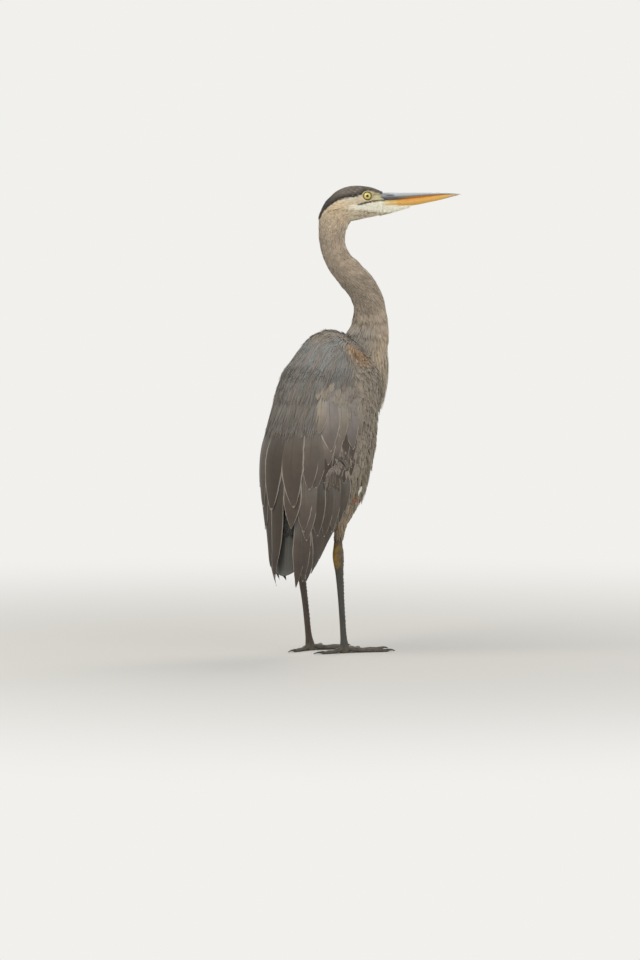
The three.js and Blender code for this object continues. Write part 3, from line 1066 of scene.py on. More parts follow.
@dataclass(frozen=True)
class SkinFinish:
    """Thin dry skin under feathers: dull, slightly pebbled with the feathers' follicles."""

    name: str = "Feathered_skin"
    pebble: float = 0.0022

    def build(self) -> Material:
        """Builds the material, which reads the tint of the plumage around it.

        Returns:
            The material.
        """
        nodes = Recipe(self.name)
        tint, place = nodes.tint(), nodes.place()
        pebbles = nodes.add("TexVoronoi", output="Distance", Vector=place, Scale=1 / self.pebble)
        colour = nodes.scaled(tint, nodes.spread(nodes.noise(place, 260.0, 4.0), 0.3, 0.85))
        nodes.relief(pebbles, 0.3, 0.0004)
        return nodes.made(colour, Roughness=0.8)


@dataclass(frozen=True)
class ScaleFinish:
    """Leg skin: dry horny scales a few millimetres across, dull on top and dark in the joints."""

    name: str = "Scaled_leg_skin"
    scale: float = 0.0026

    def build(self) -> Material:
        """Builds the material from the tint with a net of small scales.

        Returns:
            The material.
        """
        nodes = Recipe(self.name)
        tint, place = nodes.tint(), nodes.place()
        cells = nodes.add("TexVoronoi", {"feature": "DISTANCE_TO_EDGE"}, Vector=place, Scale=1 / self.scale)
        rise, dirt = nodes.ramp(cells, 0.0, 0.16), nodes.noise(place, 140.0, 5.0)
        colour = nodes.scaled(tint, nodes.times(nodes.spread(rise, 0.35, 0.7), nodes.spread(dirt, 0.5, 0.72)))
        roughness = nodes.spread(dirt, 0.25, 0.42)
        nodes.relief(rise, 0.6, 0.0005)
        return nodes.made(colour, Roughness=roughness)


@dataclass(frozen=True)
class HornFinish:
    """Keratin horn grown in fine lengthwise fibres: satin, with a soft clear gloss."""

    name: str
    roughness: float = 0.34
    contrast: float = 0.16

    def build(self) -> Material:
        """Builds the material from the tint, with fibres along the piece's own map.

        Returns:
            The material.
        """
        nodes = Recipe(self.name)
        tint = nodes.tint()
        fibres = nodes.noise(nodes.add("Mapping", Vector=nodes.uv("Horn"), Scale=(60.0, 5.0, 1.0)), 1.0, 5.0)
        colour = nodes.scaled(tint, nodes.spread(fibres, self.contrast * 2, 1 - self.contrast))
        nodes.relief(fibres, 0.2, 0.0003)
        return nodes.made(colour, Roughness=self.roughness, Coat_Weight=0.25, Coat_Roughness=0.2)


@dataclass(frozen=True)
class EyeFinish:
    """A wet eye: a yellow iris of fine spokes round a black pupil under a clear cornea."""

    name: str = "Wet_eye"
    pupil: float = 17.5 / 180
    iris: float = 49 / 180

    def build(self) -> Material:
        """Builds the material from the map whose first axis is the angle from the eye's axis.

        Returns:
            The material.
        """
        nodes = Recipe(self.name)
        split = add_node(nodes.tree, "ShaderNodeSeparateXYZ", Vector=nodes.uv("Iris")).outputs
        angle = split[0]
        circle = (
            nodes.times(nodes.maths(wave, nodes.times(split[1], 6.28318)), 9.0) for wave in ("SINE", "COSINE")
        )
        turn = nodes.add("CombineXYZ", X=next(circle), Y=next(circle), Z=nodes.times(angle, 6.0))
        spokes = nodes.noise(turn, 1.2, 4.0)
        share = nodes.add("MapRange", Value=angle, From_Min=self.pupil, From_Max=self.iris)
        gold = nodes.mixed(nodes.ramp(share, 0.15, 0.95), linear("#f2dc62"), linear("#c9b25c"))
        gold = nodes.mixed(nodes.times(spokes, 0.35), gold, linear("#8f7a34"))
        rim = nodes.mixed(nodes.ramp(share, 0.88, 1.0), gold, linear("#1c1810"))
        colour = nodes.mixed(nodes.ramp(angle, self.pupil - 0.006, self.pupil + 0.006), linear("#050505"), rim)
        return nodes.made(colour, Roughness=0.12, IOR=1.38, Coat_Weight=1.0, Coat_Roughness=0.03)


@dataclass(frozen=True)
class FloorFinish:
    """A matt pale floor that keeps the bird's shadow and fades into the air behind it."""

    name: str = "Pale_floor"
    colour: str = "#c9c7c3"
    air: str = "#f1f0ed"

    def build(self) -> Material:
        """Builds the material.

        Returns:
            The material.
        """
        nodes = Recipe(self.name)
        place = nodes.place()
        grain = nodes.times(nodes.noise(place, 3.0, 3.0), 0.1)
        made = nodes.made(
            nodes.mixed(grain, linear(self.colour), linear("#bfbcb6")), Roughness=0.95, Specular_IOR_Level=0.0
        )
        seen = nodes.plainly_seen()
        away = nodes.add("VectorMath", {"operation": "LENGTH"}, "Value", Vector=place)
        far = nodes.times(nodes.ramp(away, 0.35, 2.2), seen)
        air = nodes.add("Emission", Color=linear(self.air), Strength=1.0)
        both = nodes.add("MixShader", Fac=far, i1=nodes.shader.outputs[0], i2=air)
        feed(nodes.tree, nodes.tree.nodes["Material Output"], Surface=both)
        return made


# ---------------------------------------------------------------- feathers


@dataclass(frozen=True)
class VaneShape:
    """The outline and section of one kind of feather, in units of its width, length and thickness."""

    outline: tuple[tuple[float, float], ...]
    rings: int
    across: int
    bow: float = 0.0

    def build(self, name: str) -> Object:
        """Builds the vane as a closed thin solid with its root at the origin, lying along +Y.

        Args:
            name: the object's name.

        Returns:
            The vane, with the map "Vane" and the attribute "local".
        """
        across, rings = self.across, self.rings
        share = np.linspace(0, 1, rings) ** 0.92
        v, u = np.meshgrid(share, np.linspace(-1, 1, across), indexing="ij")
        x = u * (Stations(self.outline).first(share) / 2)[:, None] + self.bow * v**2
        z = (1 - np.abs(u) ** 1.6) * (1 - 0.6 * v) + 0.25
        top, uv, ends = stack(x, v, z), stack(u / 2 + 0.5, v), [0, across - 1]
        under = top[:, ends].copy()
        under[..., 2] -= 0.5 * (1 - share[:, None])
        points = np.vstack([top.reshape(-1, 3), under.reshape(-1, 3)])
        base, last = rings * across, (rings - 1) * across
        faces = []
        for i in range(rings - 1):
            b, left, right = base + 2 * i, i * across, i * across + across - 1
            faces += [[a, a + 1, a + 1 + across, a + across] for a in range(left, right)]
            faces += [[b + 1, b, b + 2, b + 3], [left, left + across, b + 2, b], [right + across, right, b + 1, b + 3]]
        faces.append([*range(across - 1, -1, -1), base, base + 1])
        faces.append([*range(last, last + across), base + 2 * rings - 1, base + 2 * rings - 2])
        made = mesh_object(name, points, faces)
        write(made, "local", "FLOAT_VECTOR", points)
        write_map(made, "Vane", np.vstack([uv.reshape(-1, 2), uv[:, ends].reshape(-1, 2)]))
        return made


class Vane(Enum):
    """The kinds of feather used on the bird."""

    COVERT = (
        VaneShape(((0, 0.35), (0.2, 0.8), (0.45, 1.0), (0.7, 0.84), (0.88, 0.48), (1, 0.08)), 8, 7, 0.02),
        VaneShape(((0, 0.35), (0.2, 0.8), (0.42, 1.0), (0.68, 0.8), (0.87, 0.44), (1, 0.06)), 8, 7, -0.06),
        VaneShape(((0, 0.35), (0.22, 0.85), (0.5, 1.0), (0.74, 0.8), (0.9, 0.42), (1, 0.1)), 8, 7, 0.07),
    )
    PLUME = (
        VaneShape(((0, 0.5), (0.25, 1.0), (0.6, 0.7), (0.85, 0.34), (1, 0.05)), 6, 3, 0.5),
        VaneShape(((0, 0.5), (0.3, 1.0), (0.65, 0.6), (0.88, 0.26), (1, 0.04)), 6, 3, -0.7),
        VaneShape(((0, 0.5), (0.2, 0.9), (0.5, 1.0), (0.8, 0.4), (1, 0.05)), 6, 3, 0.1),
    )
    DOWN = (
        VaneShape(((0, 0.6), (0.4, 1.0), (0.75, 0.7), (1, 0.1)), 4, 3, 0.1),
        VaneShape(((0, 0.6), (0.35, 1.0), (0.7, 0.62), (1, 0.08)), 4, 3, -0.2),
    )
    CONTOUR = (
        VaneShape(((0, 0.45), (0.35, 0.95), (0.65, 1.0), (0.87, 0.66), (1, 0.14)), 6, 5, 0.08),
        VaneShape(((0, 0.45), (0.3, 0.95), (0.6, 1.0), (0.85, 0.62), (1, 0.1)), 6, 5, -0.12),
        VaneShape(((0, 0.45), (0.4, 1.0), (0.7, 0.86), (0.9, 0.5), (1, 0.08)), 6, 5, 0.02),
    )
    SCUTE = (VaneShape(((0, 0.8), (0.4, 1.0), (0.8, 0.92), (1, 0.55)), 4, 5),)


@dataclass
class Roots:
    """Where feathers stand and how each one lies, one row a feather, in millimetres."""

    point: Array
    lie: Array
    out: Array
    size: Array
    bend: Array
    spot: Array
    colour: Array
    kind: Array

    def keep(self, mask: Array) -> Roots:
        """Returns only the feathers that the mask picks."""
        return Roots(*(getattr(self, name)[mask] for name in self.__dataclass_fields__))

    @staticmethod
    def joined(groups: Sequence[Roots]) -> Roots:
        """Joins several groups into one."""
        return Roots(*(np.concatenate([getattr(g, name) for g in groups]) for name in Roots.__dataclass_fields__))


class FeatherTree:
    """The Geometry Nodes tree that sets a vane on every root and bends it to the form below it."""

    takes = {"Roots": "Geometry", "Vanes": "Collection", "Patch": "Float", "Finish": "Material"}
    spent = ("lie", "out", "size", "bend", "spot", "kind", "local")

    def __init__(self) -> None:
        """Builds the tree."""
        self.tree = tree = bpy.data.node_groups.new("set_feathers", "GeometryNodeTree")
        for name, kind in self.takes.items():
            tree.interface.new_socket(name, in_out="INPUT", socket_type=f"NodeSocket{kind}")
        tree.interface.new_socket("Feathers", in_out="OUTPUT", socket_type="NodeSocketGeometry")
        given = tree.nodes.new("NodeGroupInput").outputs
        points = self.add("GeometryNodeMeshToPoints", Mesh=given["Roots"], Radius=0.001)
        vanes = self.add(
            "GeometryNodeCollectionInfo", Collection=given["Vanes"], Separate_Children=True, Reset_Children=True
        )
        axes = {"primary_axis": "Y", "secondary_axis": "Z"}
        turn = self.add("FunctionNodeAxesToRotation", axes, i0=self.named("lie"), i1=self.named("out"))
        placed = self.add(
            "GeometryNodeInstanceOnPoints", Points=points, Instance=vanes, Pick_Instance=True,
            Instance_Index=self.named("kind", "INT"), Rotation=turn, Scale=self.named("size"),
        )
        real = self.add("GeometryNodeRealizeInstances", Geometry=placed)
        local = self.vector("MULTIPLY", self.named("local"), self.named("size"))
        fall = self.vector("DOT_PRODUCT", self.vector("MULTIPLY", local, local), self.named("bend"), "Value")
        drop = self.add("ShaderNodeMath", {"operation": "MULTIPLY"}, i0=fall, i1=-0.5)
        bent = self.add("GeometryNodeSetPosition", Geometry=real, Offset=self.scaled(self.named("out"), drop))
        patch = self.scaled(self.vector("SUBTRACT", self.named("local"), (0.0, 0.5, 0.0)), given["Patch"])
        last = self.add(
            "GeometryNodeStoreNamedAttribute", {"data_type": "FLOAT2", "domain": "CORNER"}, Geometry=bent,
            Name="OFBake", Value=self.vector("ADD", self.named("spot"), patch),
        )
        for name in self.spent:
            last = self.add("GeometryNodeRemoveAttribute", Geometry=last, Name=name)
        dressed = self.add("GeometryNodeSetMaterial", Geometry=last, Material=given["Finish"])
        tree.links.new(dressed, tree.nodes.new("NodeGroupOutput").inputs[0])

    def add(self, kind: str, sets: dict | None = None, output: int | str = 0, **inputs: object) -> Socket:
        """Adds a node and returns one of its outputs."""
        return add_node(self.tree, kind, sets, **inputs).outputs[output]

    def named(self, name: str, kind: str = "FLOAT_VECTOR") -> Socket:
        """Reads a named attribute."""
        node = add_node(self.tree, "GeometryNodeInputNamedAttribute", {"data_type": kind}, Name=name)
        return next(socket for socket in node.outputs if socket.enabled)

    def vector(self, operation: str, first: object, second: object, output: int | str = 0) -> Socket:
        """Adds a vector operation."""
        return self.add("ShaderNodeVectorMath", {"operation": operation}, output, i0=first, i1=second)

    def scaled(self, first: Socket, share: Socket) -> Socket:
        """Scales a vector."""
        return self.add("ShaderNodeVectorMath", {"operation": "SCALE"}, Vector=first, Scale=share)


class Plumassier:
    """Makes coats of feathers from roots, with one shared node tree and one set of vanes a kind."""

    def __init__(self, placing: Placing) -> None:
        """Keeps where the bird stands and builds the tree.

        Args:
            placing: where the bird's own frame lies.
        """
        self.placing = placing
        self.tree = FeatherTree().tree
        self.vanes: dict[Vane, bpy.types.Collection] = {}

    def collection(self, kind: Vane) -> bpy.types.Collection:
        """Finds the hidden collection that holds one kind's variants.

        Args:
            kind: the kind of feather.

        Returns:
            The collection, made the first time it is asked for.
        """
        if kind not in self.vanes:
            group = bpy.data.collections.new(f"vanes_{kind.name.lower()}")
            for i, shape in enumerate(kind.value):
                vane = shape.build(f"{kind.name.lower()}_{i}")
                bpy.context.scene.collection.objects.unlink(vane)
                group.objects.link(vane)
            self.vanes[kind] = group
        return self.vanes[kind]

    def coat(self, name: str, roots: Roots, kind: Vane, material: Material) -> Object:
        """Makes one coat as a plain mesh.

        Args:
            name: the coat's name.
            roots: its feathers.
            kind: which vanes it uses.
            material: its finish.

        Returns:
            The coat, with the maps "Vane" and "OFBake".
        """
        seeds = mesh_object(name, self.placing.metres(roots.point), [])
        write(seeds, "lie", "FLOAT_VECTOR", roots.lie)
        write(seeds, "out", "FLOAT_VECTOR", roots.out)
        write(seeds, "size", "FLOAT_VECTOR", roots.size * 0.001)
        write(seeds, "bend", "FLOAT_VECTOR", roots.bend * 1000)
        write(seeds, "spot", "FLOAT_VECTOR", stack(roots.spot[:, 0], roots.spot[:, 1], 0.0))
        write(seeds, "kind", "INT", roots.kind % len(kind.value))
        set_colour(seeds, roots.colour)
        grow = seeds.modifiers.new("feathers", "NODES")
        grow.node_group = self.tree
        values = {"Vanes": self.collection(kind), "Patch": PATCH, "Finish": material}
        for item in self.tree.interface.items_tree:
            if item.name in values:
                grow[item.identifier] = values[item.name]
        made = baked(seeds)
        made.data.materials.clear()
        made.data.materials.append(material)
        LOG.info("%s: %d feathers, %d faces", name, len(roots.point), len(made.data.polygons))
        return made


# ---------------------------------------------------------------- markings

COLOURS = {
    name: linear(code)
    for name, code in {
        "crown": "#80766b", "cap": "#383431", "lore": "#c5c08e", "cheek": "#e0cba9", "chin": "#fffbe8",
        "throat": "#cdbf9f", "rust": "#a87a52", "bend": "#a9855f", "bend_pale": "#c9a988", "neck": "#bfad97",
        "neck_side": "#a79580", "neck_back": "#978b7c", "foreneck": "#d9ccb4", "streak": "#4c4034",
        "breast": "#cdb99d", "mantle": "#8a8a86", "mauve": "#7d7268", "lesser": "#93897b", "mauve_pale": "#8c827b",
        "tail": "#53524c", "mauve_dark": "#544a42", "slate": "#5f5e57", "covert": "#6b6258", "brown": "#544b41",
        "belly": "#978a77", "flank": "#8d8470", "thigh": "#9a8b74", "thigh_rust": "#94684a", "heel": "#a07a22",
        "shank": "#47443c", "shank_dark": "#40342a", "toe": "#5b5446", "lid": "#8d8a5c", "dark": "#1d1b17",
    }.items()
}


def tone(colour: str | Array) -> Array:
    """Reads a linear colour, given as itself, as a hex code or as the name of one of the bird's colours.

    Args:
        colour: the colour, its code or its name.

    Returns:
        The linear colour.
    """
    if isinstance(colour, str):
        return linear(colour) if colour[0] == "#" else COLOURS[colour]
    return colour


def washed(base: str | Array, *washes: tuple[str | Array, Array]) -> Array:
    """Lays colours over each other.

    Args:
        base: the lowest colour, or colours for each point.
        *washes: the next colours, each with its share from 0 to 1 for each point.

    Returns:
        The linear colours, one a point.
    """
    colour = tone(base)
    for wash, share in washes:
        share = np.clip(np.asarray(share, float), 0, 1)[..., None]
        colour = colour * (1 - share) + tone(wash) * share
    return colour


@dataclass
class Spot:
    """Places on a form: points with the directions of the surface there, in millimetres."""

    point: Array
    ahead: Array
    around: Array
    out: Array
    along: Array
    angle: Array

    @staticmethod
    def on(form: Form, along: Array, angle: Array) -> Spot:
        """Measures a form at places along it and angles round it."""
        return Spot(*form.frame(along, angle)[:4], *np.broadcast_arrays(along, angle))

    @property
    def z(self) -> Array:
        """Returns the heights."""
        return self.point[:, 2]

    @property
    def past(self) -> Array:
        """Returns the degrees out from the middle of the back, to either side."""
        return np.degrees(np.abs(((self.angle + math.pi) % TURN) - math.pi))


class Markings:
    """Where each colour of the immature plumage lies, with some painted shade, shared by the skin and every coat."""

    cap_line = Stations([
        [-92, -46], [-87, -44], [-83, -34], [-77, -25], [-67, -17], [-56, -11], [-43, -6], [-29, -3], [-14, 0],
        [-4, 7], [8, 8.5], [20, 5], [36, 2],
    ])
    gape_line = Stations([[-17, -16], [-8, -14], [0, -12], [10, -9.6], [22, -8], [30, -7.4], [40, -7]])

    def head(self, spot: Spot) -> Array:
        """Colours the head: a dark cap over cream cheeks, with a white chin and bare olive lores.

        Args:
            spot: the places, with the surface's directions there.

        Returns:
            The linear colours, one a place.
        """
        p = in_head(spot.point)
        x, z = p[:, 0], p[:, 2]
        fine, streaked = ripple(spot.point, 7, 3), ripple(p * [0.35, 1.2, 1.2], 3.2, 4)
        under = ease(-25.5, -29, z + 0.1 * (x - 10))
        line = self.cap_line.first(x) + 1.2 * fine
        cap = washed(
            "cap",
            ("crown", ease(3, 12, z - line) * ease(-80, -30, x)),
            ("crown", ease(-12, 8, x) * 0.6),
            ("cheek", ease(0.2, 0.9, streaked) * ease(-60, -10, x) * 0.3),
            ("cap", ease(-0.2, -0.9, streaked) * 0.6),
        )
        brow = (1 - ease(0.6, 1.7, np.abs(z - 3.4 + 0.09 * (x - 10)))) * ease(8, 12, x) * ease(34, 28, x)
        gape = 1 - ease(0.9, 2.2, np.abs(z - self.gape_line.first(x)))
        colour = washed(
            "cheek",
            ("neck", ease(-52, -86, x) * 0.8),
            ("rust", ease(0.1, 0.7, ripple(spot.point, 13, 8)) * ease(-20, -50, x) * 0.4 * ease(-14, -30, z)),
            ("chin", ease(-42, -16, x) * ease(-11.5, -14.5, z - 0.1 * x)),
            (COLOURS["chin"] * 0.8, ease(-52, -30, x) * ease(-4, -14, x) * ease(-14, -8, z) * 0.5),
            ("throat", under * 0.7),
            ("thigh_rust", under * ease(0.1, 0.7, fine) * 0.75 * ease(60, 30, x)),
            (cap, ease(-0.8, 1.4, z - line)),
            ("lore", ease(8, 13, x) * ease(-7.0, -4.8, z) * ease(4.6, 2.2, z)),
            ("cap", np.maximum(brow * 0.6, gape * ease(-18, -12, x) * 0.9)),
        )
        return colour * (1 + 0.08 * fine[:, None])

    def neck(self, spot: Spot) -> Array:
        """Colours the neck: buff grey, darker behind, with a pale streaked line in front.

        Args:
            spot: the places, with the surface's directions there.

        Returns:
            The linear colours, one a place.
        """
        front, share, point = np.cos(spot.angle), spot.along, spot.point
        fine = ripple(point, 8, 6)
        rust = ease(0.1, 0.8, ripple(point, 16, 9)) * 0.3 * ease(-0.4, 0.4, front) * ease(0.7, 0.95, share)
        dashes = ease(0.45, 0.8, np.sin(share * 150 + 3 * fine)) * ease(0.75, 0.86, front) * ease(0.99, 0.93, front)
        colour = washed(
            "neck",
            ("breast", ease(0.45, 0.05, share)),
            ("neck_side", ease(-0.3, 0.7, ripple(point, 34, 5)) * 0.6),
            ("neck_back", ease(0.1, 0.9, ripple(point, 15, 7)) * 0.6),
            ("neck_back", ease(0.1, -0.95, front) * 0.75),
            ("cheek", ease(0.8, 0.97, share) * 0.55),
            ("rust", rust),
            ("foreneck", ease(0.66, 0.93, front + 0.06 * fine) * 0.9),
            ("streak", dashes * 0.8),
            (COLOURS["mantle"] * 0.9, ease(0.3, 0.18, share) * ease(0.0, -0.75, front) * 0.55),
        )
        # Painted shade darkens the middle of the neck, from about a third to three fifths of the way up.
        colour = colour * (1 - 0.22 * ease(0.28, 0.4, share) * ease(0.66, 0.5, share))[:, None]
        nape = ease(0.86, 0.975, share) * ease(-0.9, -0.99, front)
        return washed(colour, ("cap", nape * 0.9)) * (1 + 0.09 * fine[:, None])

    def back(self, spot: Spot) -> Array:
        """Colours the mantle: blue grey washed with mauve and olive blotches.

        Args:
            spot: the places, with the surface's directions there.

        Returns:
            The linear colours, one a place.
        """
        point, z, side = spot.point, spot.z, ((np.degrees(spot.angle) + 180) % 360) - 180
        colour = washed(
            "mantle",
            ("mauve_pale", ease(-0.3, 0.6, ripple(point, 26, 12)) * 0.8),
            ("slate", ease(0.1, 0.9, ripple(point, 70, 11)) * 0.3),
            # Lower down, and on the left side, the mantle turns browner and darker: partly its own colour and partly
            # painted shade.
            ("covert", ease(560, 460, z) * 0.6),
            ("brown", ease(0.3, 0.8, ripple(point, 15, 14)) * ease(540, 480, z) * 0.5),
            ("brown", ease(-5, 40, side) * ease(560, 470, z) * 0.5),
            ("lesser", ease(66, 88, np.abs(side)) * ease(570, 552, z) * 0.85),
            ("neck_back", ease(568, 577, z) * 0.8),
        )
        # Random tone, with painted shade that darkens the mantle below the top of the shoulders.
        shade = 1 + 0.06 * ripple(point, 9, 13) - 0.08 * ease(572, 540, z)
        return self.rusty(colour, spot) * shade[:, None]

    def rusty(self, colour: Array, spot: Spot) -> Array:
        """Paints the rusty, mottled small coverts at the bend of the wing, cream along their inner side.

        Args:
            colour: the colours to paint over.
            spot: the places, with the surface's directions there.

        Returns:
            The linear colours, one a place.
        """
        past, z, fine = spot.past, spot.z, ripple(spot.point, 7, 17)
        edge = np.hypot((past - 106) / 18, (z - 545) / 19) + 0.22 * fine
        bend = washed(
            "bend",
            ("bend_pale", ease(0.2, 0.9, fine) * 0.7),
            ("brown", ease(0.0, 0.7, ripple(spot.point, 7, 18)) * 0.75),
            ("bend_pale", ease(96, 90, past) * 0.85),
        )
        # A thin pale line runs down from the patch, where the mantle ends and the wing begins.
        line = ease(2.4, 1.0, np.abs(past - 76 - 0.16 * (536 - z))) * ease(445, 460, z)
        return washed(colour, ("breast", line * ease(540, 530, z) * 0.4), (bend, ease(1.15, 0.75, edge) * 0.95))

    def wing(self, spot: Spot) -> Array:
        """Colours the coverts: grey buff, mottled and browner towards the front edge.

        Args:
            spot: the places, with the surface's directions there.

        Returns:
            The linear colours, one a place.
        """
        blotch, past = ripple(spot.point, 22, 21), spot.past
        colour = washed(
            "lesser",
            ("mauve_pale", ease(-0.2, -0.9, blotch) * 0.6),
            ("mauve_dark", ease(0.25, 0.9, blotch) * 0.55),
            ("belly", ease(78, 92, past) * 0.5),
            ("brown", ease(0.1, 0.8, ripple(spot.point, 8, 22)) * (0.35 + 0.3 * ease(80, 100, past))),
        )
        return self.rusty(colour, spot)

    def belly(self, spot: Spot) -> Array:
        """Colours the underparts: buff grey with brown streaks, darker on the flanks.

        Args:
            spot: the places, with the surface's directions there.

        Returns:
            The linear colours, one a place.
        """
        side, blotch = np.abs(spot.point[:, 1]), ripple(spot.point, 28, 32)
        streaks = ease(0.15, 0.7, np.sin(spot.angle * 17 + 2 * blotch) * 0.7 + ripple(spot.point, 12, 31) * 0.6)
        return washed(
            "foreneck",
            ("belly", ease(6, 34, side) * 0.9 + 0.1),
            ("flank", ease(40, 68, side) * 0.75),
            ("streak", streaks * 0.5),
            # Painted shade: the back of the trunk, seen only through the gap between the wings, is nearly black.
            ("dark", ease(0.6, 0.95, np.cos(spot.angle)) * 0.95),
        )

    def thigh(self, spot: Spot) -> Array:
        """Returns the thighs' colours: buff brown with a rusty wash."""
        rust = ease(-0.2, 0.8, ripple(spot.point, 18, 41)) * 0.6
        return washed("thigh", ("thigh_rust", rust), ("streak", ease(232, 212, spot.z) * 0.35))

    def leg(self, spot: Spot) -> Array:
        """Colours the bare legs: ochre spots at the heel over grey-brown shanks.

        Args:
            spot: the places, with the surface's directions there.

        Returns:
            The linear colours, one a place.
        """
        (x, y, _), z, fine = spot.out.T, spot.z, ripple(spot.point, 9, 51)
        left = spot.point[:, 1] > 0
        shank = np.where(left[:, None], COLOURS["shank_dark"] * 1.25, COLOURS["shank"])
        inner = ease(-0.7, 0.3, -0.7 * x - 0.7 * y * np.sign(spot.point[:, 1]))
        heel = ease(144, 164, z + 7 * fine) * ease(206, 194, z) * (0.3 + 0.7 * ease(-0.35, 0.45, fine))
        return washed(
            shank,
            ("toe", ease(16, 6, z)),
            ("heel", heel * (0.35 + 0.65 * inner)),
            ("dark", ease(0.3, 0.8, ripple(spot.point, 14, 52)) * 0.3),
        )


# ---------------------------------------------------------------- planting

Rule = Callable[[Spot], Array]
Spacing = Callable[[Array], Array]


def always(*values: float) -> Callable[[object], Array]:
    """Returns a rule that gives the same values everywhere."""
    return lambda _: np.array(values)


def scatter(
    form: Form, low: float, high: float, spacing: Spacing, seed: int, turn: tuple[float, float] = (-math.pi, math.pi)
) -> tuple[Array, Array]:
    """Spreads roots evenly over a form.

    Args:
        form: the form.
        low: where along it they start.
        high: where they end.
        spacing: gives the distance between neighbours at points, in millimetres.
        seed: the seed of the thinning.
        turn: the angles between which they lie.

    Returns:
        The roots' places along the form and angles round it.
    """
    rng = np.random.default_rng(seed)
    start, span = np.array([low, turn[0]]), np.array([high - low, turn[1] - turn[0]])
    probe = start + span * rng.random((4000, 2))

    def density(along: Array, angle: Array) -> Array:
        """Works out how many roots one unit of place and angle takes.

        Args:
            along: places along the form.
            angle: angles round it.

        Returns:
            The counts.
        """
        point, ahead, around, _, per_along, per_angle = form.frame(along, angle)
        area = np.linalg.norm(np.cross(ahead, around), axis=-1) * per_along * per_angle
        return area / spacing(point) ** 2

    most = np.percentile(density(*probe.T), 99.5)
    count = int(most * (span[0] * span[1]))
    # These two steps fill a square evenly, however many places are drawn.
    steps = np.array([0.7548776662466927, 0.5698402909980532])
    along, angle = (start + span * ((0.5 + np.arange(1, count + 1)[:, None] * steps) % 1)).T
    keep = rng.random(count) < density(along, angle) / most
    return along[keep], angle[keep]


def plant(
    form: Form, along: Array, angle: Array, way: Rule, size: Rule, colour: Rule, depth: float, rise: float,
    seed: int, ruffle: float = 0.08,
) -> Roots:
    """Sets feathers on a form.

    Args:
        form: the form whose surface the tips reach.
        along: the roots' places along it.
        angle: the roots' angles round it.
        way: gives the direction that feathers point.
        size: gives their width, length and thickness.
        colour: gives their linear colour.
        depth: how far below the surface the roots lie.
        rise: the share of the depth that a feather climbs from root to tip.
        seed: the seed of the variety.
        ruffle: how unevenly they lie, in radians.

    Returns:
        The feathers.
    """
    rng = np.random.default_rng(seed)
    spot = Spot.on(form, along, angle)
    count, out = len(spot.point), spot.out
    lie = square_to(way(spot), out)
    sway = rng.normal(0, ruffle, count)[:, None]
    lie = unit(lie * np.cos(sway) + np.cross(lie, out) * np.sin(sway))
    sizes = size(spot) * rng.uniform(0.86, 1.14, (count, 1))
    bends = stack(form.bend(along, angle, np.cross(lie, out), 4.0), form.bend(along, angle, lie, 6.0), 0.0)
    climb = depth * rise / sizes[:, 1] + rng.normal(0, ruffle * 0.25, count)
    lean = unit(lie + out * climb[:, None])
    share = (along - form.low) / (form.high - form.low)
    place = 0.01 + 0.98 * stack((angle / TURN) % 1, np.clip(share, 0, 1))
    tint = colour(spot) * rng.uniform(0.9, 1.1, (count, 1))
    kinds = rng.integers(0, 60, count)
    return Roots(spot.point - out * depth, lean, square_to(out, lean), sizes, bends, place, tint, kinds)


# ---------------------------------------------------------------- skin


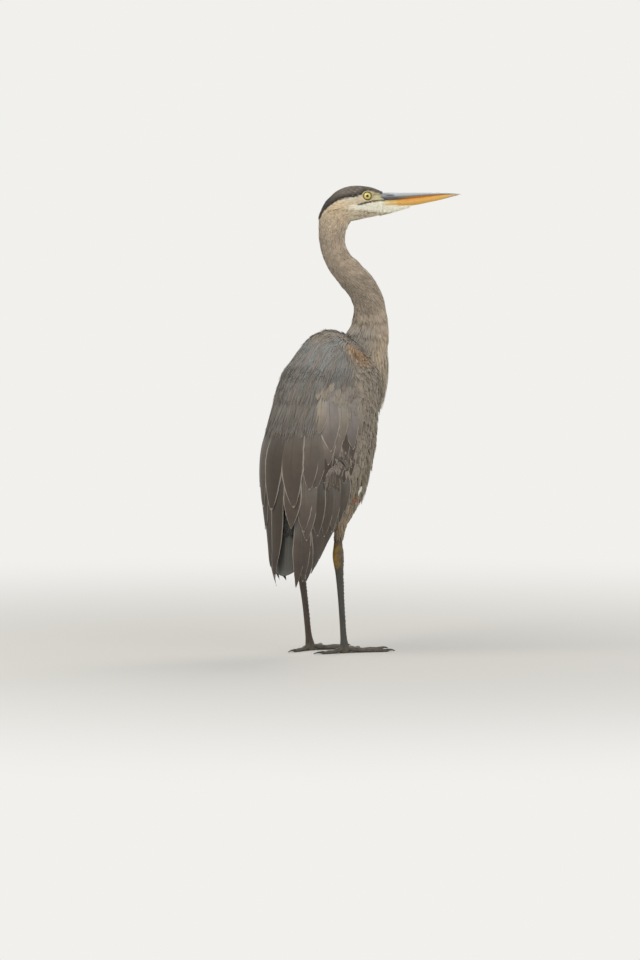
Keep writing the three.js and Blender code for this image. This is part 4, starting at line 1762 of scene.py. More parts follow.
@dataclass
class Skin:
    """The one skin of flesh under the coats, fused from the body, wings, neck, head, thighs and legs."""

    placing: Placing
    marks: Markings
    body_depth: float = 5.0
    wing_depth: float = 7.0
    neck_depth: float = 2.6
    head_depth: float = 1.5
    thigh_depth: float = 2.2
    voxel: float = 0.0025
    leg_voxel: float = 0.0012
    lid_length: float = 1.05
    lid_height: float = 0.96

    def wings(self) -> tuple[Array, Faces]:
        """Lofts the folded wings' flesh, which sinks below the body ahead of the wings' front edge.

        Returns:
            The vertices and the faces.
        """
        z, turn = lattice(crowded(262, 573, 60), circle(96))
        ahead = BIRD.at(z, turn)[..., 0] - WING_EDGE.first(z)
        low = 12 * ease(292, 264, z)
        return tube(BIRD.lifted(z, turn, -self.wing_depth - low - 11 * ease(-10, 2, ahead)))

    def shaded_back(self, spot: Spot) -> Array:
        """Returns the back's colours, with painted shade low down: dark near the middle and brown further round, where
        only gaps between large feathers show the skin.
        """
        low = np.where((spot.past < 60)[:, None], COLOURS["dark"], COLOURS["brown"])
        return washed(self.marks.back(spot), (low, ease(450, 400, spot.z)))

    def samples(self) -> list[tuple[Array, Array]]:
        """Gathers points of every form with their colours, for tinting the skin.

        Returns:
            Pairs of points and their linear colours, one pair a form.
        """
        marks = self.marks
        # The last number of each job darkens the colour, as painted shade where the skin shows between the feathers:
        # 0.85 on the neck and 0.8 on the body.
        jobs = [
            (SKULL, -87, 34, marks.head, 90, 60, self.head_depth, 1.0),
            (JAW, 5, 92.5, marks.head, 60, 40, self.head_depth, 1.0),
            (THROAT, 0.04, 0.975, marks.neck, 200, 60, self.neck_depth, 0.85),
            (TRUNK, 205, 560, marks.belly, 120, 120, self.body_depth, 0.8),
            (BIRD, 262, 570, self.shaded_back, 120, 120, self.wing_depth, 0.8),
        ]
        for plan in LEGS.values():
            jobs.append((plan.thigh(), 0, 1, marks.thigh, 90, 16, 0.0, 1.0))
            jobs += [(limb, 0, 1, marks.leg, 90, 16, 0.0, 1.0) for limb in (plan.shin(), *plan.toes())]
        gathered = []
        for form, low, high, paint, count, around, depth, shade in jobs:
            along, angle = (grid.ravel() for grid in lattice(np.linspace(low, high, count), circle(around)))
            spot = Spot.on(form, along, angle)
            gathered.append((spot.point - spot.out * depth, paint(spot) * shade))
        return gathered

    def lids(self) -> list[tuple[Array, Faces]]:
        """Lofts a ring of bare skin round each eye, rolled in at its inner rim.

        Returns:
            The vertices and faces of each eye's ring.
        """
        rows = np.array([[46, 8.75], [50, 9.5], [57, 10.1], [68, 10.3], [82, 9.6], [88, 7.4], [60, 7.2], [46, 8.0]])
        count, around, radius, made = len(rows), 40, rows[:, 1:], []
        slope, turn = lattice(np.radians(rows[:, 0]), circle(around))
        # The lids are a little longer fore and aft than high.
        x = np.sin(slope) * np.cos(turn) * radius * self.lid_length
        z = np.sin(slope) * np.sin(turn) * radius * self.lid_height
        for side in SIDES.values():
            points = head_point(stack(x, side * EYE_OUT + side * np.cos(slope) * radius, z))
            faces = []
            for i, j in np.ndindex(count, around):
                k, m = (j + 1) % around, (i + 1) % count
                faces.append([i * around + j, i * around + k, m * around + k, m * around + j])
            made.append((points.reshape(-1, 3), faces if side > 0 else turned(faces)))
        return made

    def lid_tint(self, points: Array) -> Array:
        """Tints the lids: a dark inner rim, then yellow-green skin.

        Args:
            points: the lids' vertices in metres.

        Returns:
            The linear colours, one a vertex.
        """
        x, _, z = in_head(self.placing.millimetres(points)).T
        away = np.hypot(x, z)
        return washed("dark", ("lid", ease(6.6, 8.0, away)), ("cheek", ease(8.2, 9.6, away) * 0.7))

    def build(self) -> Object:
        """Builds the skin as one object.

        Returns:
            The skin, with its tint and three finishes.
        """
        solids = [
            tube(TRUNK.rings(crowded(206, 569, 60), 80, -self.body_depth)),
            self.wings(),
            tube(THROAT.rings(np.linspace(0, 0.985, 110), 40, -self.neck_depth)),
            tube(SKULL.rings(crowded(-85, 33.5, 60), 44, -self.head_depth)),
            tube(JAW.rings(crowded(6, 91.5, 36), 32, -self.head_depth)),
        ]
        bare = []
        for plan in LEGS.values():
            solids.append(tube(plan.thigh().rings(np.linspace(0.02, 0.97, 34), 24, -self.thigh_depth)))
            bare.append(tube(plan.shin().rings(np.linspace(0, 1, 80), 24)))
            bare += [tube(toe.rings(np.linspace(0, 0.995, 30), 16)) for toe in plan.toes()]
        flesh = remeshed(self.placing.solid("skin", solids), self.voxel, 6)
        legs = remeshed(self.placing.solid("legs", bare), self.leg_voxel, 2)
        lids = self.placing.solid("lids", self.lids())
        for vertex in legs.data.vertices:
            vertex.co.z = max(vertex.co.z, self.placing.shift[2])
        points, colours = (np.vstack(group) for group in zip(*self.samples()))
        tree = KDTree(len(points))
        for i, point in enumerate(self.placing.metres(points).tolist()):
            tree.insert(point, i)
        tree.balance()
        for piece in (flesh, legs):
            set_colour(piece, colours[[tree.find(point)[1] for point in vertices(piece).tolist()]])
        set_colour(lids, self.lid_tint(vertices(lids)))
        pieces = [flesh, legs, lids]
        for piece, finish in zip(pieces, (SkinFinish(), ScaleFinish(), SkinFinish("Bare_lid_skin", 0.0011))):
            piece.data.materials.append(finish.build())
            piece.data.polygons.foreach_set("use_smooth", [True] * len(piece.data.polygons))
        with bpy.context.temp_override(
            active_object=flesh, object=flesh, selected_objects=pieces, selected_editable_objects=pieces
        ):
            bpy.ops.object.join()
        return flesh


# ---------------------------------------------------------------- coats


@dataclass
class Coat:
    """What every coat needs: the maker of its feathers and the markings."""

    maker: Plumassier
    marks: Markings


@dataclass
class HeadCoat(Coat):
    """The tiny close feathers of the head and chin."""

    spacing: float = 1.85
    depth: float = 1.3
    rise: float = 0.9
    eye_clear: float = 9.3
    seed: int = 61

    def way(self, spot: Spot) -> Array:
        """Points feathers backwards, and down at the nape."""
        droop = ease(-40, -85, in_head(spot.point)[:, 0])[:, None] * np.array([0, 0, -1.2])
        return head_way(np.array([-1.0, 0.0, -0.12])) + droop

    def size(self, spot: Spot) -> Array:
        """Sizes feathers: smallest at the face, longer towards the nape.

        Args:
            spot: the places, with the surface's directions there.

        Returns:
            The widths, lengths and thicknesses.
        """
        x, _, z = in_head(spot.point).T
        length = 3.6 + 4.2 * ease(6, -60, x) + 4.0 * ease(-24, -31, z + 0.1 * x) * ease(70, 30, x)
        return stack(1.4 + 0.5 * ease(0, -60, x), length, 0.2)

    def roots(self) -> Roots:
        """Plants the head and chin, leaving the eyes and the bare lores clear.

        Returns:
            The feathers.
        """
        groups = []
        for form, low, high, seed, shift in ((SKULL, -87.5, 33, self.seed, 0.0), (JAW, 30, 91, self.seed + 1, 0.5)):
            along, angle = scatter(form, low, high, always(self.spacing), seed)
            found = plant(form, along, angle, self.way, self.size, self.marks.head, self.depth, self.rise, seed)
            found.spot[:, 0] = shift + found.spot[:, 0] * 0.49
            groups.append(found)
        roots = Roots.joined(groups)
        x, _, z = in_head(roots.point).T
        eye = np.hypot(x / 1.08, z) < self.eye_clear
        lore = (x > 8) & (z < 3.2) & (z > -7.5)
        # The feathers reach least far forward at the gape and furthest under the chin.
        beak = x > np.where(z > -6, 25 + ease(0, 6, z) * 3, 20 + 70 * ease(-10, -24, z))
        return roots.keep(~(eye | lore | beak))

    def build(self) -> Object:
        """Builds the coat."""
        finish = FeatherFinish("Head_feather_barbs", shaft=0.0, contrast=0.1, barbs_per_length=5, roughness=0.8)
        return self.maker.coat("head_coat", self.roots(), Vane.DOWN, finish.build())


@dataclass
class NeckCoat(Coat):
    """The soft narrow feathers that lie down the neck."""

    shares: tuple[float, ...] = (0.03, 0.38, 0.64, 0.985)
    spacing: float = 2.1
    looser_below: float = 0.9
    depth: float = 1.9
    rise: float = 0.7
    ruffle: float = 0.07
    sunk: float = 7.0
    seed: int = 71

    def size(self, spot: Spot) -> Array:
        """Sizes feathers: longer and wider towards the breast."""
        down = ease(0.95, 0.2, spot.along)
        return stack(1.7 + 1.0 * down, 9 + 11 * down, 0.22)

    def build(self) -> list[Object]:
        """Builds the coat in three lengths, which run into each other.

        Returns:
            The lower, middle and upper coat.
        """
        finish = FeatherFinish(
            "Neck_feather_barbs", shaft=0.0, contrast=0.1, barbs_per_length=5, edge_strength=0.15, edge="#bfb19b",
            roughness=0.85, bump=0.12,
        ).build()
        coats = []
        for i, name in enumerate(("lower", "middle", "upper")):
            low, high = self.shares[i : i + 2]
            seed = self.seed + i
            along, angle = scatter(
                THROAT, low, high, lambda p: self.spacing + self.looser_below * ease(780, 560, p[:, 2]), seed
            )
            roots = plant(
                THROAT, along, angle, lambda spot: -spot.ahead, self.size, self.marks.neck, self.depth, self.rise,
                seed, self.ruffle,
            )
            free = np.minimum(clear_of(TRUNK, roots.point), clear_of(BIRD, roots.point)) > -self.sunk
            coats.append(self.maker.coat(f"neck_coat_{name}", roots.keep(free), Vane.DOWN, finish))
        return coats


@dataclass
class Mantle(Coat):
    """The long hair-like plumes over the shoulders, on a bed of broad soft feathers."""

    bottom: float = 415.0
    top: float = 580.2
    lower_edge: float = 428.0
    edge_rise: float = 68.0
    neck_foot: tuple[float, float] = (95.0, 560.0)
    bed_top: float = 572.0
    bed_spacing: float = 5.5
    plume_spacing: float = 3.4
    parting: float = -17.0
    seed: int = 81

    def way(self, spot: Spot) -> Array:
        """Points plumes away from the foot of the neck: over the shoulders, then down the back."""
        return spot.point - stack(self.neck_foot[0], 0.0, self.neck_foot[1] + 90 * ease(579, 548, spot.z))

    def size(self, spot: Spot) -> Array:
        """Sizes plumes: longest in the middle of the back."""
        low = ease(560, 430, spot.z)
        return stack(2.5 + 0.8 * low, 27 + 22 * low, 0.3)

    def bed_size(self, spot: Spot) -> Array:
        """Sizes the broad feathers under the plumes."""
        low = ease(560, 430, spot.z)
        return stack(8 + 3 * low, 26 + 16 * low, 0.5)

    def roots(self, spacing: float, size: Rule, depth: float, rise: float, seed: int) -> Roots:
        """Plants one layer, which reaches lowest in the middle of the back.

        Args:
            spacing: the distance between neighbours.
            size: gives the width, length and thickness.
            depth: how far below the surface the roots lie.
            rise: the share of the depth that a feather climbs.
            seed: the seed of its places and variety.

        Returns:
            The feathers.
        """
        along, angle = scatter(BIRD, self.bottom, self.top, always(spacing), seed)
        past = np.degrees(np.abs(angle))
        above = along > self.lower_edge + self.edge_rise * ease(42, 76, past)
        keep = above & (past < 84 + 42 * ease(515, 560, along) + 60 * ease(548, 560, along))
        return plant(BIRD, along[keep], angle[keep], self.way, size, self.marks.back, depth, rise, seed, 0.07)

    def build(self) -> list[Object]:
        """Builds the bed and the plumes.

        Returns:
            The bed, the left plumes and the right plumes.
        """
        bed = FeatherFinish(
            "Mantle_feather_vanes", shaft=0.1, contrast=0.15, barbs_per_length=16, edge_strength=0.12, edge="#9a9488"
        ).build()
        hair = FeatherFinish(
            "Loose_mantle_barbs", shaft=0.0, contrast=0.12, barbs_per_length=4, edge_strength=0.15, edge="#a09a8d",
            edge_from=0.5, roughness=0.8, bump=0.1,
        ).build()
        broad = self.roots(self.bed_spacing, self.bed_size, 3.2, 0.5, self.seed)
        loose = self.roots(self.plume_spacing, self.size, 1.6, 1.0, self.seed + 1)
        left = loose.point[:, 1] > self.parting
        return [
            self.maker.coat("mantle_bed", broad.keep(broad.point[:, 2] < self.bed_top), Vane.CONTOUR, bed),
            self.maker.coat("mantle_plumes_left", loose.keep(left), Vane.PLUME, hair),
            self.maker.coat("mantle_plumes_right", loose.keep(~left), Vane.PLUME, hair),
        ]


@dataclass
class Underparts(Coat):
    """The feathers of the breast, belly and flanks."""

    bottom: float = 205.0
    top: float = 572.0
    spacing: float = 5.9
    looser_below: float = 1.6
    depth: float = 4.2
    under_wing: float = 26.0
    vent: float = 262.0
    crease: tuple[float, float] = (-9.0, 13.0)
    crease_spacing: float = 5.2
    crease_depth: float = 9.5
    covert_spacing: float = 8.5
    seed: int = 91

    def way(self, spot: Spot) -> Array:
        """Points feathers down, and back under the belly."""
        return stack(-0.5 * ease(330, 230, spot.z), 0.0, -1.0)

    def size(self, spot: Spot) -> Array:
        """Sizes feathers: longest low on the belly."""
        low = ease(520, 300, spot.z)
        return stack(5.2 + 3.6 * low, 24 + 12 * low, 0.6)

    def build(self) -> list[Object]:
        """Builds the underparts' coat, the flanks' and the tail's coverts.

        Returns:
            The three coats, in that order.
        """
        finish = FeatherFinish(
            "Soft_belly_feather_vanes", shaft=0.15, streak=0.45, contrast=0.18, edge_strength=0.3, edge="#b7aa94",
            edge_from=0.5, roughness=0.85,
        ).build()
        along, angle = scatter(
            TRUNK, self.bottom, self.top, lambda p: self.spacing + self.looser_below * ease(500, 330, p[:, 2]),
            self.seed,
        )
        front = TRUNK.at(along, angle)[:, 0] > WING_EDGE.first(along) - self.under_wing
        keep = front | ((along < self.vent) & (np.cos(angle) < 0.55))
        roots = plant(
            TRUNK, along[keep], angle[keep], self.way, self.size, self.marks.belly, self.depth, 0.8, self.seed, 0.14
        )
        belly = self.maker.coat("belly_coat", Roots.joined([roots, *self.tufts()]), Vane.CONTOUR, finish)
        return [belly, self.maker.coat("flank_coat", self.crease_roots(), Vane.CONTOUR, finish), self.tail_coverts()]

    def crease_roots(self) -> Roots:
        """Plants the loose flank feathers that fill the crease behind each wing's front edge.

        Returns:
            The feathers.
        """
        along, angle = scatter(BIRD, 285, 552, always(self.crease_spacing), self.seed + 8)
        ahead = BIRD.at(along, angle)[:, 0] - WING_EDGE.first(along)
        keep = (ahead > self.crease[0]) & (ahead < self.crease[1])
        return plant(
            BIRD, along[keep], angle[keep], self.way, self.size, self.marks.belly, self.crease_depth, 0.6,
            self.seed + 8, 0.16,
        )

    def tail_coverts(self) -> Object:
        """Builds the slate feathers over the root of the tail, which show in the gap between the wings and darken to
        near black upwards, as painted shade in that gap.

        Returns:
            The coat.
        """
        finish = FeatherFinish("Tail_covert_vanes", contrast=0.2, edge_strength=0.3, edge="#6f716e").build()
        along, angle = scatter(TRUNK, 226, 350, always(self.covert_spacing), self.seed + 6, (-1.1, 1.1))
        # The coverts darken to near black upwards, as painted shade in the gap between the wings.
        roots = plant(
            TRUNK, along, angle, self.way, always(13.0, 44.0, 0.6),
            lambda spot: washed("tail", ("dark", ease(232, 262, spot.z) * 0.85)), 2.0, 0.6,
            self.seed + 6,
        )
        return self.maker.coat("tail_coverts", roots, Vane.CONTOUR, finish)

    def tufts(self) -> list[Roots]:
        """Plants the white tuft and the rusty tuft that show low on each flank.

        Returns:
            One group of feathers for each tuft.
        """
        groups = []
        rows = (("chin", 297, 128, 1.2, 6), ("thigh_rust", 283, 124, 3.0, 26))
        for i, (name, height, place, spread, count) in enumerate(rows):
            rng = np.random.default_rng(self.seed + 2 + i)
            for side in SIDES.values():
                along = rng.normal(height, 2.5, count)
                angle = side * np.radians(rng.normal(place, spread, count))
                tint, size = always(*COLOURS[name]), always(3.6, 12.0, 0.6)
                groups.append(plant(TRUNK, along, angle, self.way, size, tint, 0.6, 1.0, self.seed + 4 + i))
        return groups


@dataclass
class Thighs(Coat):
    """The close feathers of the thighs, which end in a ragged edge above the heel."""

    shares: tuple[float, float] = (0.06, 0.93)
    spacing: float = 3.0
    looser_above: float = 1.4
    depth: float = 2.0
    seed: int = 95

    def size(self, spot: Spot) -> Array:
        """Sizes feathers: shorter towards the heel."""
        high = ease(0.9, 0.3, spot.along)
        return stack(3.4 + 2.2 * high, 9 + 9 * high, 0.4)

    def build(self) -> list[Object]:
        """Builds one coat a leg.

        Returns:
            The left coat and the right coat.
        """
        finish = FeatherFinish("Thigh_feather_barbs", shaft=0.1, contrast=0.15, edge_strength=0.3, roughness=0.85)
        material, coats = finish.build(), []
        for i, (name, plan) in enumerate(LEGS.items()):
            thigh, seed = plan.thigh(), self.seed + i
            along, angle = scatter(
                thigh, *self.shares, lambda p: self.spacing + self.looser_above * ease(220, 280, p[:, 2]), seed
            )
            roots = plant(
                thigh, along, angle, lambda spot: spot.ahead, self.size, self.marks.thigh, self.depth, 0.8, seed, 0.15
            )
            coats.append(self.maker.coat(f"thigh_coat_{name}", roots, Vane.DOWN, material))
        return coats


@dataclass
class BreastPlumes(Coat):
    """The long narrow plumes that hang from the foot of the neck."""

    count: int = 620
    half_turn: float = 1.9
    lowest_root: float = 474.0
    root_band: float = 114.0
    lowest_tip: float = 412.0
    seed: int = 101

    def build(self) -> Object:
        """Builds the plumes as one coat.

        Returns:
            The coat.
        """
        rng, count = np.random.default_rng(self.seed), self.count
        finish = FeatherFinish(
            "Breast_plume_barbs", shaft=0.0, streak=0.75, contrast=0.2, edge_strength=0.5, edge="#d8ccb2",
            edge_from=0.45, roughness=0.8,
        ).build()
        turn, pick = rng.uniform(-self.half_turn, self.half_turn, count), rng.uniform(0, 1, count)
        c, s = np.cos(turn), np.sin(turn)
        top = rng.uniform(0, 1, count) ** 0.75
        root_z = self.lowest_root + self.root_band * top
        middle, width, depth = np.moveaxis(PLUMES(root_z), -1, 0)
        lift = rng.uniform(-9, -5, count) - 6 * top
        out = unit(stack(c / depth, s / width, 0.0))
        point = stack(middle + (depth + lift) * c, (width + lift) * s, root_z)
        length = rng.uniform(46, 78, count) + 22 * top
        ragged = 26 * np.abs(s) ** 0.7 * rng.uniform(0.5, 1.3, count)
        tip_z = np.maximum(root_z - length, self.lowest_tip + ragged)
        middle, width, depth = np.moveaxis(PLUMES(tip_z), -1, 0)
        reach = rng.uniform(0.82, 1.0, count)
        tip = stack(middle + depth * reach * c, width * reach * s, tip_z)
        long = np.linalg.norm(tip - point, axis=-1)
        bow = 0.004 + 0.007 * top
        lie = unit(unit(tip - point) + out * (bow * long / 2)[:, None])
        size = stack(rng.uniform(2.6, 4.2, count), long, 0.25)
        mix = np.clip(np.abs(s) * 0.7 + rng.normal(0, 0.25, count), 0, 1)
        # Dark, olive and rusty plumes lie among the cream ones, so the breast looks streaked from afar.
        odd = [
            (name, ((pick >= low) & (pick < high)) * (0.15 + 0.6 * ease(1.0, 0.3, top)))
            for name, low, high in (("streak", 0.0, 0.16), ("belly", 0.16, 0.36), ("bend", 0.36, 0.43))
        ]
        colour = washed(COLOURS["foreneck"] * 0.9, ("breast", mix), *odd)
        spot = 0.02 + 0.96 * stack((turn / 6.3) % 1, top)
        kinds = rng.integers(0, 60, count)
        roots = Roots(point, lie, square_to(out, lie), size, stack(0.01, bow, 0.0), spot, colour, kinds)
        return self.maker.coat("breast_plume_coat", roots, Vane.PLUME, finish)


# ---------------------------------------------------------------- large feathers


@dataclass(frozen=True)
class Quill:
    """One large feather of the closed wing, from root to tip: degrees out from the middle of the back, and height."""

    root_turn: float
    root_z: float
    tip_turn: float
    tip_z: float
    width: float
    root_lift: float
    tip_lift: float
    tint: str
    bow: float = 0.0
    sharp: float = 0.3


def quill_finish(name: str, strength: float, **changes: float | str) -> Material:
    """Builds the finish of large feathers with pale worn edges of some strength.

    Args:
        name: the material's name.
        strength: how pale the worn edges are, from 0 to 1.
        **changes: other values of the finish.

    Returns:
        The material.
    """
    values = {"shaft": 0.35, "contrast": 0.13, "edge": "#c0b4a6", "edge_from": 0.83, "tip_from": 0.972, "bump": 0.3}
    values |= {"barbs_per_length": 60, "barbs_across": 3, "edge_strength": strength, **changes}
    return FeatherFinish(name, **values).build()


@dataclass
class QuillMaker:
    """Lays large feathers on the closed bird and lofts each as a thin closed vane."""

    placing: Placing
    rows: int = 26
    thickness: float = 0.55
    lowest: float = 100.0
    highest: float = 579.0
    left_shade: float = 0.62
    right_shade: float = 0.9
    high_tip: float = 340.0
    high_gain: float = 1.15

    columns = np.array([-1, -0.82, -0.55, -0.25, -0.06, 0.06, 0.25, 0.55, 0.82, 1.0])
    profile = Stations([[0, 0.35], [0.15, 0.7], [0.4, 0.94], [0.62, 1.0], [0.8, 0.95], [1, 0.84]])

    def line(self, quill: Quill, side: int, share: Array) -> tuple[Array, Array]:
        """Lays out a feather's shaft at shares of its length.

        Args:
            quill: the feather.
            side: 1 on the left wing and -1 on the right.
            share: shares of its length.

        Returns:
            The heights in millimetres and the angles in radians.
        """
        ends = ((quill.root_turn, quill.root_z), (quill.tip_turn, quill.tip_z))
        root, tip = (BIRD.at(z, side * math.radians(degrees)) for degrees, z in ends)
        x, y, z = (root + (tip - root) * share[:, None]).T
        angle = np.arctan2(y, CLOSED_BIRD.first(z) - x)
        return z, angle + side * math.radians(quill.bow) * 4 * share * (1 - share)

    def vane(self, quill: Quill, side: int, seed: int) -> tuple[Array, Faces, Array]:
        """Lofts one feather.

        Args:
            quill: the feather.
            side: 1 on the left wing and -1 on the right.
            seed: the seed of its wear.

        Returns:
            Its vertices, its faces and its map from root to tip for each vertex.
        """
        rng = np.random.default_rng(seed)
        share = 1 - (1 - np.linspace(0, 1, self.rows)) ** 1.35
        z, angle = self.line(quill, side, share)
        centre, ahead, around, out, per_along, per_angle = BIRD.frame(z, angle)
        across = unit(np.cross(unit(np.gradient(centre, axis=0)), out))
        past = np.clip((share - 0.5) * 2, 0, 1)
        profile = self.profile.first(share) * np.maximum(1 - past ** (2.2 - 0.5 * quill.sharp), 0.0) ** (
            0.6 + 0.35 * quill.sharp
        ) + 0.012
        u, s = np.meshgrid(self.columns, share)
        wear = 1 + 0.025 * rng.normal(size=u.shape) * (np.abs(u) > 0.9)
        half = quill.width / 2 * (profile * (1 + 0.04 * np.sin(share * 5 + seed)))[:, None] * u * wear
        dz = np.sum(across * ahead, -1)[:, None] * half / per_along[:, None]
        da = np.sum(across * around, -1)[:, None] * half / per_angle[:, None]
        heights, angles = np.clip(z[:, None] + dz, self.lowest, self.highest), angle[:, None] + da
        rise = quill.root_lift + (quill.tip_lift - quill.root_lift) * s
        camber = -0.045 * quill.width * np.abs(u) ** 1.8 * profile[:, None] + 0.8 * side * u
        ridge = 0.25 * (np.abs(u) < 0.1) * (1 - s)
        thick = self.thickness * (1 - 0.55 * np.abs(u) ** 2) * (1 - 0.35 * s)
        top = BIRD.lifted(heights, angles, rise + camber + ridge)
        under = BIRD.lifted(heights, angles, rise + camber - thick)
        uv = stack(u / 2 + 0.5, s).reshape(-1, 2)
        return *slab(top, under), np.vstack([uv, uv])

    def tint(self, quill: Quill, side: int, points: Array, uv: Array, seed: int) -> Array:
        """Tints one feather: greyer near its root and darker at its tip, with the far wing in shade.

        Args:
            quill: the feather.
            side: 1 on the left wing and -1 on the right.
            points: its vertices in millimetres.
            uv: its map from root to tip.
            seed: the seed of its blotches.

        Returns:
            The linear colours, one a vertex.
        """
        near, out = ease(0.6, 0.1, uv[:, 1]), ease(0.2, 1.0, np.abs(uv[:, 0] * 2 - 1))
        colour = washed(
            quill.tint,
            (COLOURS["mantle"] * 0.95, near * (0.3 + 0.3 * out)),
            (COLOURS["mauve_dark"] * 0.9, 0.65 * ease(0.4, 0.95, uv[:, 1])),
        )
        colour = colour * (1 + 0.1 * ripple(points, 30, seed)[:, None])
        shade = self.left_shade if side > 0 else self.right_shade
        return colour * shade * (self.high_gain if quill.tip_z > self.high_tip else 1.0)

    def build(self, name: str, quills: Sequence[Quill], side: int, material: Material, seed: int) -> Object:
        """Builds a group of large feathers as one object.

        Args:
            name: the object's name.
            quills: the feathers.
            side: 1 on the left wing and -1 on the right.
            material: their finish.
            seed: the seed of their wear and shade.

        Returns:
            The object, with the maps "Vane" and "OFBake".
        """
        rng, grid = np.random.default_rng(seed), math.ceil(math.sqrt(len(quills)))
        shells, maps, tints, cells = [], [], [], []
        for i, quill in enumerate(quills):
            points, faces, uv = self.vane(quill, side, seed + i)
            shells.append((points, faces if side > 0 else turned(faces)))
            shade = replace(quill, tint=COLOURS[quill.tint] * rng.uniform(0.9, 1.1))
            tints.append(self.tint(shade, side, points, uv, 7 + i))
            maps.append(uv)
            under = np.where(np.arange(len(points)) < len(points) // 2, 0, 0.5)[:, None] * [1, 0]
            cells.append((np.array([i % grid, i // grid]) + 0.02 + uv * [0.46, 0.94] + under) / grid)
        return self.finished(name, shells, np.vstack(tints), maps, cells, material)

    def finished(
        self, name: str, shells: Sequence, tints: Array, maps: Sequence, cells: Sequence, material: Material
    ) -> Object:
        """Joins feathers into one object with their tints and maps.

        Args:
            name: the object's name.
            shells: the vertices and faces of each feather.
            tints: their linear colours, one a vertex.
            maps: the map "Vane" of each part.
            cells: the map "OFBake" of each part.
            material: their finish.

        Returns:
            The object.
        """
        made = self.placing.solid(name, shells)
        set_colour(made, tints)
        write_map(made, "Vane", np.vstack(maps))
        write_map(made, "OFBake", np.vstack(cells))
        made.data.materials.append(material)
        LOG.info("%s: %d large feathers, %d faces", name, len(shells), len(made.data.polygons))
        return made


def laid(*rows: Sequence) -> tuple[Quill, ...]:
    """Makes feathers of rows of their values."""
    return tuple(Quill(*row) for row in rows)


TERTIALS = laid(
    (28, 460, 40, 300, 37, -2.4, 1.8, "covert", 1), (40, 440, 47, 303, 32, -2.4, 1.3, "covert", 1),
    (50, 412, 56, 312, 28, -1.2, 0.9, "brown"),
)
SECONDARIES = laid(
    (20, 352, 26, 230, 36, -1.6, 0.8, "brown", 1, 0.7), (33, 350, 46, 224, 32, -1.9, 0.4, "covert", 0, 0.7),
    (40, 350, 56, 208, 36, -2.2, 0.2, "covert", 0, 0.8), (48, 345, 73, 216, 30, -2.4, 0.1, "brown", 0, 0.8),
    (56, 345, 90, 214, 28, -2.5, 0.2, "brown", 3, 0.8), (64, 345, 101, 222, 23, -2.2, 0.8, "covert", 4, 0.8),
    (74, 345, 106, 238, 20, -2.0, 1.2, "brown", 3, 0.8), (84, 340, 104, 258, 18, -1.8, 1.4, "covert", 2, 0.8),
)
PRIMARIES = laid(
    (30, 285, 76, 123, 26, -3.4, -1.2, "mauve_dark", 5, 0.8), (30, 285, 97, 133, 27, -3.2, -0.8, "mauve_dark", 4, 0.8),
    (34, 280, 124, 131, 27, -3.4, -1.0, "brown", 0, 0.8), (48, 275, 133, 146, 27, -3.6, -1.2, "mauve_dark", 0, 0.8),
    (60, 270, 130, 158, 24, -3.8, -1.4, "brown", 0, 0.8), (72, 265, 126, 172, 23, -4.0, -1.6, "brown", 0, 0.8),
    (84, 262, 116, 193, 21, -4.2, -1.8, "brown", 0, 0.8),
)
GREATER_COVERTS = laid(
    (36, 474, 42, 400, 27, -0.6, 1.2, "lesser", 0, 0.8), (46, 440, 57, 344, 34, -1.0, 1.0, "mauve", 0, 0.6),
    (56, 436, 67, 352, 27, -1.2, 0.8, "mauve", 0, 0.9), (66, 440, 79, 350, 26, -1.2, 0.8, "brown", 0, 0.9),
    (77, 440, 90, 348, 24, -1.2, 0.9, "brown", 0, 0.9), (42, 482, 57, 368, 38, -0.2, 1.9, "mauve_pale", 0, 0.8),
    (55, 470, 70, 386, 29, -0.4, 1.6, "lesser", 0, 1), (66, 476, 87, 370, 36, -0.2, 2.1, "mauve_pale", 0, 1),
    (78, 462, 94, 392, 24, -0.8, 1.4, "lesser", 0, 1), (60, 384, 68, 308, 27, -1.8, 0.4, "brown", 0, 0.6),
    (67, 384, 75, 304, 25, -1.8, 0.5, "covert", 0, 0.6), (76, 386, 85, 310, 23, -1.8, 0.6, "brown", 0, 0.6),
    (84, 388, 94, 322, 21, -1.6, 0.8, "brown", 0, 0.6), (91, 400, 101, 342, 19, -1.4, 0.9, "mauve", 0, 0.6),
    # The last, a thin strip tinted like the cap, is a painted shadow line beside the covert tuft.
    (62, 359, 82, 337, 3.6, 1.2, 1.4, "cap", 3, 1),
)
"""Large feathers that both wings have."""

INNER_TERTIALS = {
    "right": laid((14, 470, 26, 268, 45, -2.4, 2.4, "brown", -2)),
    "left": laid((3, 472, 5, 262, 49, -2.6, 2.0, "brown", -2), (22, 460, 22, 266, 40, -2.6, 1.6, "covert")),
}
INNER_PRIMARIES = {
    "right": (),
    "left": laid(
        (-14, 400, 16, 141, 30, -3.2, -0.4, "brown", 4), (20, 325, 16, 140, 26, -3.2, -0.9, "mauve_dark"),
        (26, 320, 26, 159, 28, -2.8, -0.2, "brown"),
    ),
}
"""Feathers of each wing beside the seam, which lies to the right of the back's middle."""


